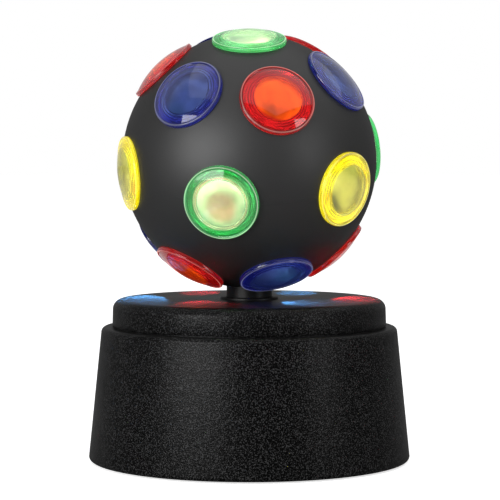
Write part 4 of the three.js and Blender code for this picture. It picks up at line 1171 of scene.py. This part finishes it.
def build_ball():
    bore_bottom = 40 * MM
    bore_top = BALL_CENTRE_LEVEL - BALL_RADIUS + BALL_WALL + CUT_RUN
    back_limit = -0.05
    places = list(lens_places())
    for upper in (True, False):
        shell = place(half_ball(upper), TO_BALL)
        holes = [lens_hole(matrix) for _, matrix, _ in places]
        combine(shell, [merged("holes", holes)], "DIFFERENCE")
        if not upper:
            combine(shell, [neck()], "UNION")
            combine(shell, [rod(NECK_BORE_RADIUS, bore_bottom, bore_top, 64)], "DIFFERENCE")
        node = "ball_upper_shell" if upper else "ball_lower_shell"
        dress(shell, "ball", [node], "ball_black", "ball")
        face_inside(shell)
    plan, profile = lens_plan(), lens_profile()
    for suffix, matrix, colour in places:
        lens = grown(f"polished_{suffix}", plan, colour, {}, profile, LENS_SMOOTH_ANGLE)
        lens.data.materials.append(MATERIALS[f"{colour} back"])
        for face in lens.data.polygons:
            face.material_index = int(face.normal.z < back_limit)
        place(lens, matrix @ Matrix.Translation((0, 0, LENS_SEAT)))
        dress(lens, "ball", [f"lens_{suffix}"], f"lens_{colour}")


CARRIED_OVER = {
    "inner": ("drive_plate", "switch_body"),
    "nylon": ("ball_gear", "thrust_washer"),
    "lead": ("light_lead", "battery_lead"),
    "steel": (*numbered("drive_plate_screw", 3), "gear_motor", *numbered("motor_screw", 2),
              "motor_shaft", "gear_clip"),
    "brass": ("drive_pinion",),
}


def dress_carried_over():
    for look, names in CARRIED_OVER.items():
        for name in names:
            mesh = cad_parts[name].data
            mesh.materials.clear()
            mesh.materials.append(MATERIALS[look])


# Floor, lamps and camera

def seen_directly(tree, path):
    """1 for the camera's own rays and for rays that went through glass."""
    return math_node(tree, "MAXIMUM", path["Is Camera Ray"], path["Is Transmission Ray"])


def backdrop_strength(tree):
    """Plain light for the object, white for the camera and through glass, and a white backdrop
    behind a dimmer room in clear reflections."""
    room_start, room_end, room_front, room_rear = -0.1, 0.2, 0.1, 0.55
    on_object, in_gloss, in_view = 0.4, 0.2, 1.0
    path = tree.nodes.new("ShaderNodeLightPath").outputs
    towards = add_node(tree, "ShaderNodeTexCoord", {}, "Generated")
    rearwards = add_node(tree, "ShaderNodeSeparateXYZ", {"Vector": towards}, "Y")
    behind = ramp(tree, rearwards, room_start, room_end)
    room = mixed(tree, behind, room_front, room_rear, "FLOAT")
    strength = mixed(tree, path["Is Glossy Ray"], on_object, in_gloss, "FLOAT")
    strength = mixed(tree, path["Is Singular Ray"], strength, room, "FLOAT")
    return mixed(tree, seen_directly(tree, path), strength, in_view, "FLOAT")


def studio():
    """A white world and a pale floor, which is dimmer in soft reflections."""
    world = bpy.data.worlds.new("studio")
    bpy.context.scene.world = world
    world.use_nodes = True
    feed(world.node_tree, world.node_tree.nodes["Background"], {
        "Color": (1, 1, 1, 1), "Strength": backdrop_strength(world.node_tree)})

    plain, in_soft_gloss, lift, floor_size = 0.86, 0.2, 0.7, 8
    bm = bmesh.new()
    bmesh.ops.create_grid(bm, x_segments=1, y_segments=1, size=floor_size)
    floor = new_object("floor", mesh_from("floor", bm))
    material, tree, shader = new_material("pale floor")
    path = tree.nodes.new("ShaderNodeLightPath").outputs
    soft_gloss = math_node(tree, "SUBTRACT", path["Is Glossy Ray"], path["Is Singular Ray"])
    soft_gloss = math_node(tree, "MAXIMUM", soft_gloss, 0.0)
    feed(tree, shader, {
        "Base Color": mixed(tree, soft_gloss, grey(plain), grey(in_soft_gloss)),
        "Roughness": 0.9,
        "Specular IOR Level": 0,
        "Emission Color": (1, 1, 1, 1),
        "Emission Strength": math_node(tree, "MULTIPLY", seen_directly(tree, path), lift)})
    floor.data.materials.append(material)


def lamp_object(name, light, location, aim):
    lamp = new_object(name, light)
    lamp.location = location
    lamp.rotation_euler = (Vector(aim) - Vector(location)).to_track_quat("-Z", "Y").to_euler()
    return lamp


# Name, place, size in metres and power in watts of each softbox, and the place that they face
SOFTBOXES = (
    ("left softbox", (-0.835, -0.996, 0.36), (1.0, 0.72), 13),
    ("right softbox", (1.1, -0.77, 0.33), (0.36, 0.7), 2.8),
    ("top softbox", (0.2, -0.1, 1.35), (2.4, 2.4), 12),
)
SOFTBOX_AIM = (0, 0, 0.1)


def softbox(name, location, size, power):
    light = bpy.data.lights.new(name, "AREA")
    light.shape = "RECTANGLE"
    light.size, light.size_y = size
    light.energy = power
    return lamp_object(name, light, location, SOFTBOX_AIM)


def inner_light():
    """The light that the lamp's source throws on the inside of the ball.

    The milky dome is what is seen of it.
    """
    power, colour, above_dome = 0.13, (0.98, 0.98, 0.86), 6 * MM
    light = bpy.data.lights.new("source light", "POINT")
    light.energy = power
    light.shadow_soft_size = LIGHT_RADIUS
    light.color = colour
    lamp = lamp_object("source light", light, (0, 0, LIGHT_TOP + above_dome), (0, 0, 0))
    lamp.visible_glossy = lamp.visible_transmission = False


# For each lower lens: the middle of its patch on the cover, the patch's half width and half depth,
# all in mm, then its colour and strength
BEAMS = {
    "lower_1": ((20, -23), (10, 18), "blue", 3.5), "lower_2": ((41.5, -2), (9, 25), "red", 2.9),
    "lower_3": ((20, 33), (8.5, 14), "blue", 2.6), "lower_4": ((-20, 34), (8, 13), "red", 2.3),
    "lower_5": ((-43, 1), (9.5, 25), "blue", 4.2), "lower_6": ((-20, -23), (9, 18), "red", 2.4),
}
BEAM_COLOURS = {"red": (1.0, 0.04, 0.06), "blue": (0.12, 0.45, 1.0)}


def beam_turn(direction):
    """Points a lamp along a direction, with its own Y axis as near the part's as it can be."""
    back = -direction.normalized()
    side = Vector((0, 1, 0)).cross(back).normalized()
    return Matrix((side, back.cross(side), back)).transposed()


def lens_beams():
    """Coloured light from the lower lenses on the cover. It turns with the ball."""
    before_lens, rated_reach, softness, blend = 0.5 * MM, 25 * MM, 1 * MM, 0.2
    for suffix, matrix, _ in lens_places():
        if suffix not in BEAMS:
            continue
        (x, y), (half_width, half_depth), colour, strength = BEAMS[suffix]
        start = matrix @ Vector((0, 0, LENS_SEAT + LENS_EDGE + LENS_DOME + before_lens))
        end = Vector((x * MM, y * MM, COVER_TOP_LEVEL))
        run = end - start
        light = bpy.data.lights.new(f"beam_{suffix}", "SPOT")
        light.energy = strength * (run.length / rated_reach) ** 2
        light.color = BEAM_COLOURS[colour]
        light.shadow_soft_size = softness
        light.spot_size = 2 * atan(half_width * MM / run.length)
        light.spot_blend = blend
        beam = lamp_object(f"beam_{suffix}", light, start, end)
        beam.rotation_euler = beam_turn(run).to_euler()
        beam.scale = (1, half_depth / half_width, 1)
        beam.visible_glossy = False
        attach(beam, "ball")


CAMERA_PLACE = (0, -864.1 * MM, 127.6 * MM)
CAMERA_PITCH = radians(2.81)
FOCAL_PIXELS = 2137.3
PHOTO_PIXELS = 500
AXIS_PIXEL = 249.3
SENSOR_WIDTH = 36
CLIP = (0.01, 50)


def camera():
    data = bpy.data.cameras.new("camera")
    data.sensor_width = SENSOR_WIDTH
    data.lens = FOCAL_PIXELS / PHOTO_PIXELS * SENSOR_WIDTH
    data.shift_x = (PHOTO_PIXELS / 2 - AXIS_PIXEL) / PHOTO_PIXELS
    data.clip_start, data.clip_end = CLIP
    eye = new_object("camera", data)
    eye.location = CAMERA_PLACE
    eye.rotation_euler = (pi / 2 - CAMERA_PITCH, 0, 0)
    bpy.context.scene.camera = eye


bpy.context.scene.view_settings.view_transform = "Standard"
camera()
studio()
for box in SOFTBOXES:
    softbox(*box)
inner_light()
lens_beams()
build_base()
build_battery_bay()
build_lamp()
build_ball()
dress_carried_over()
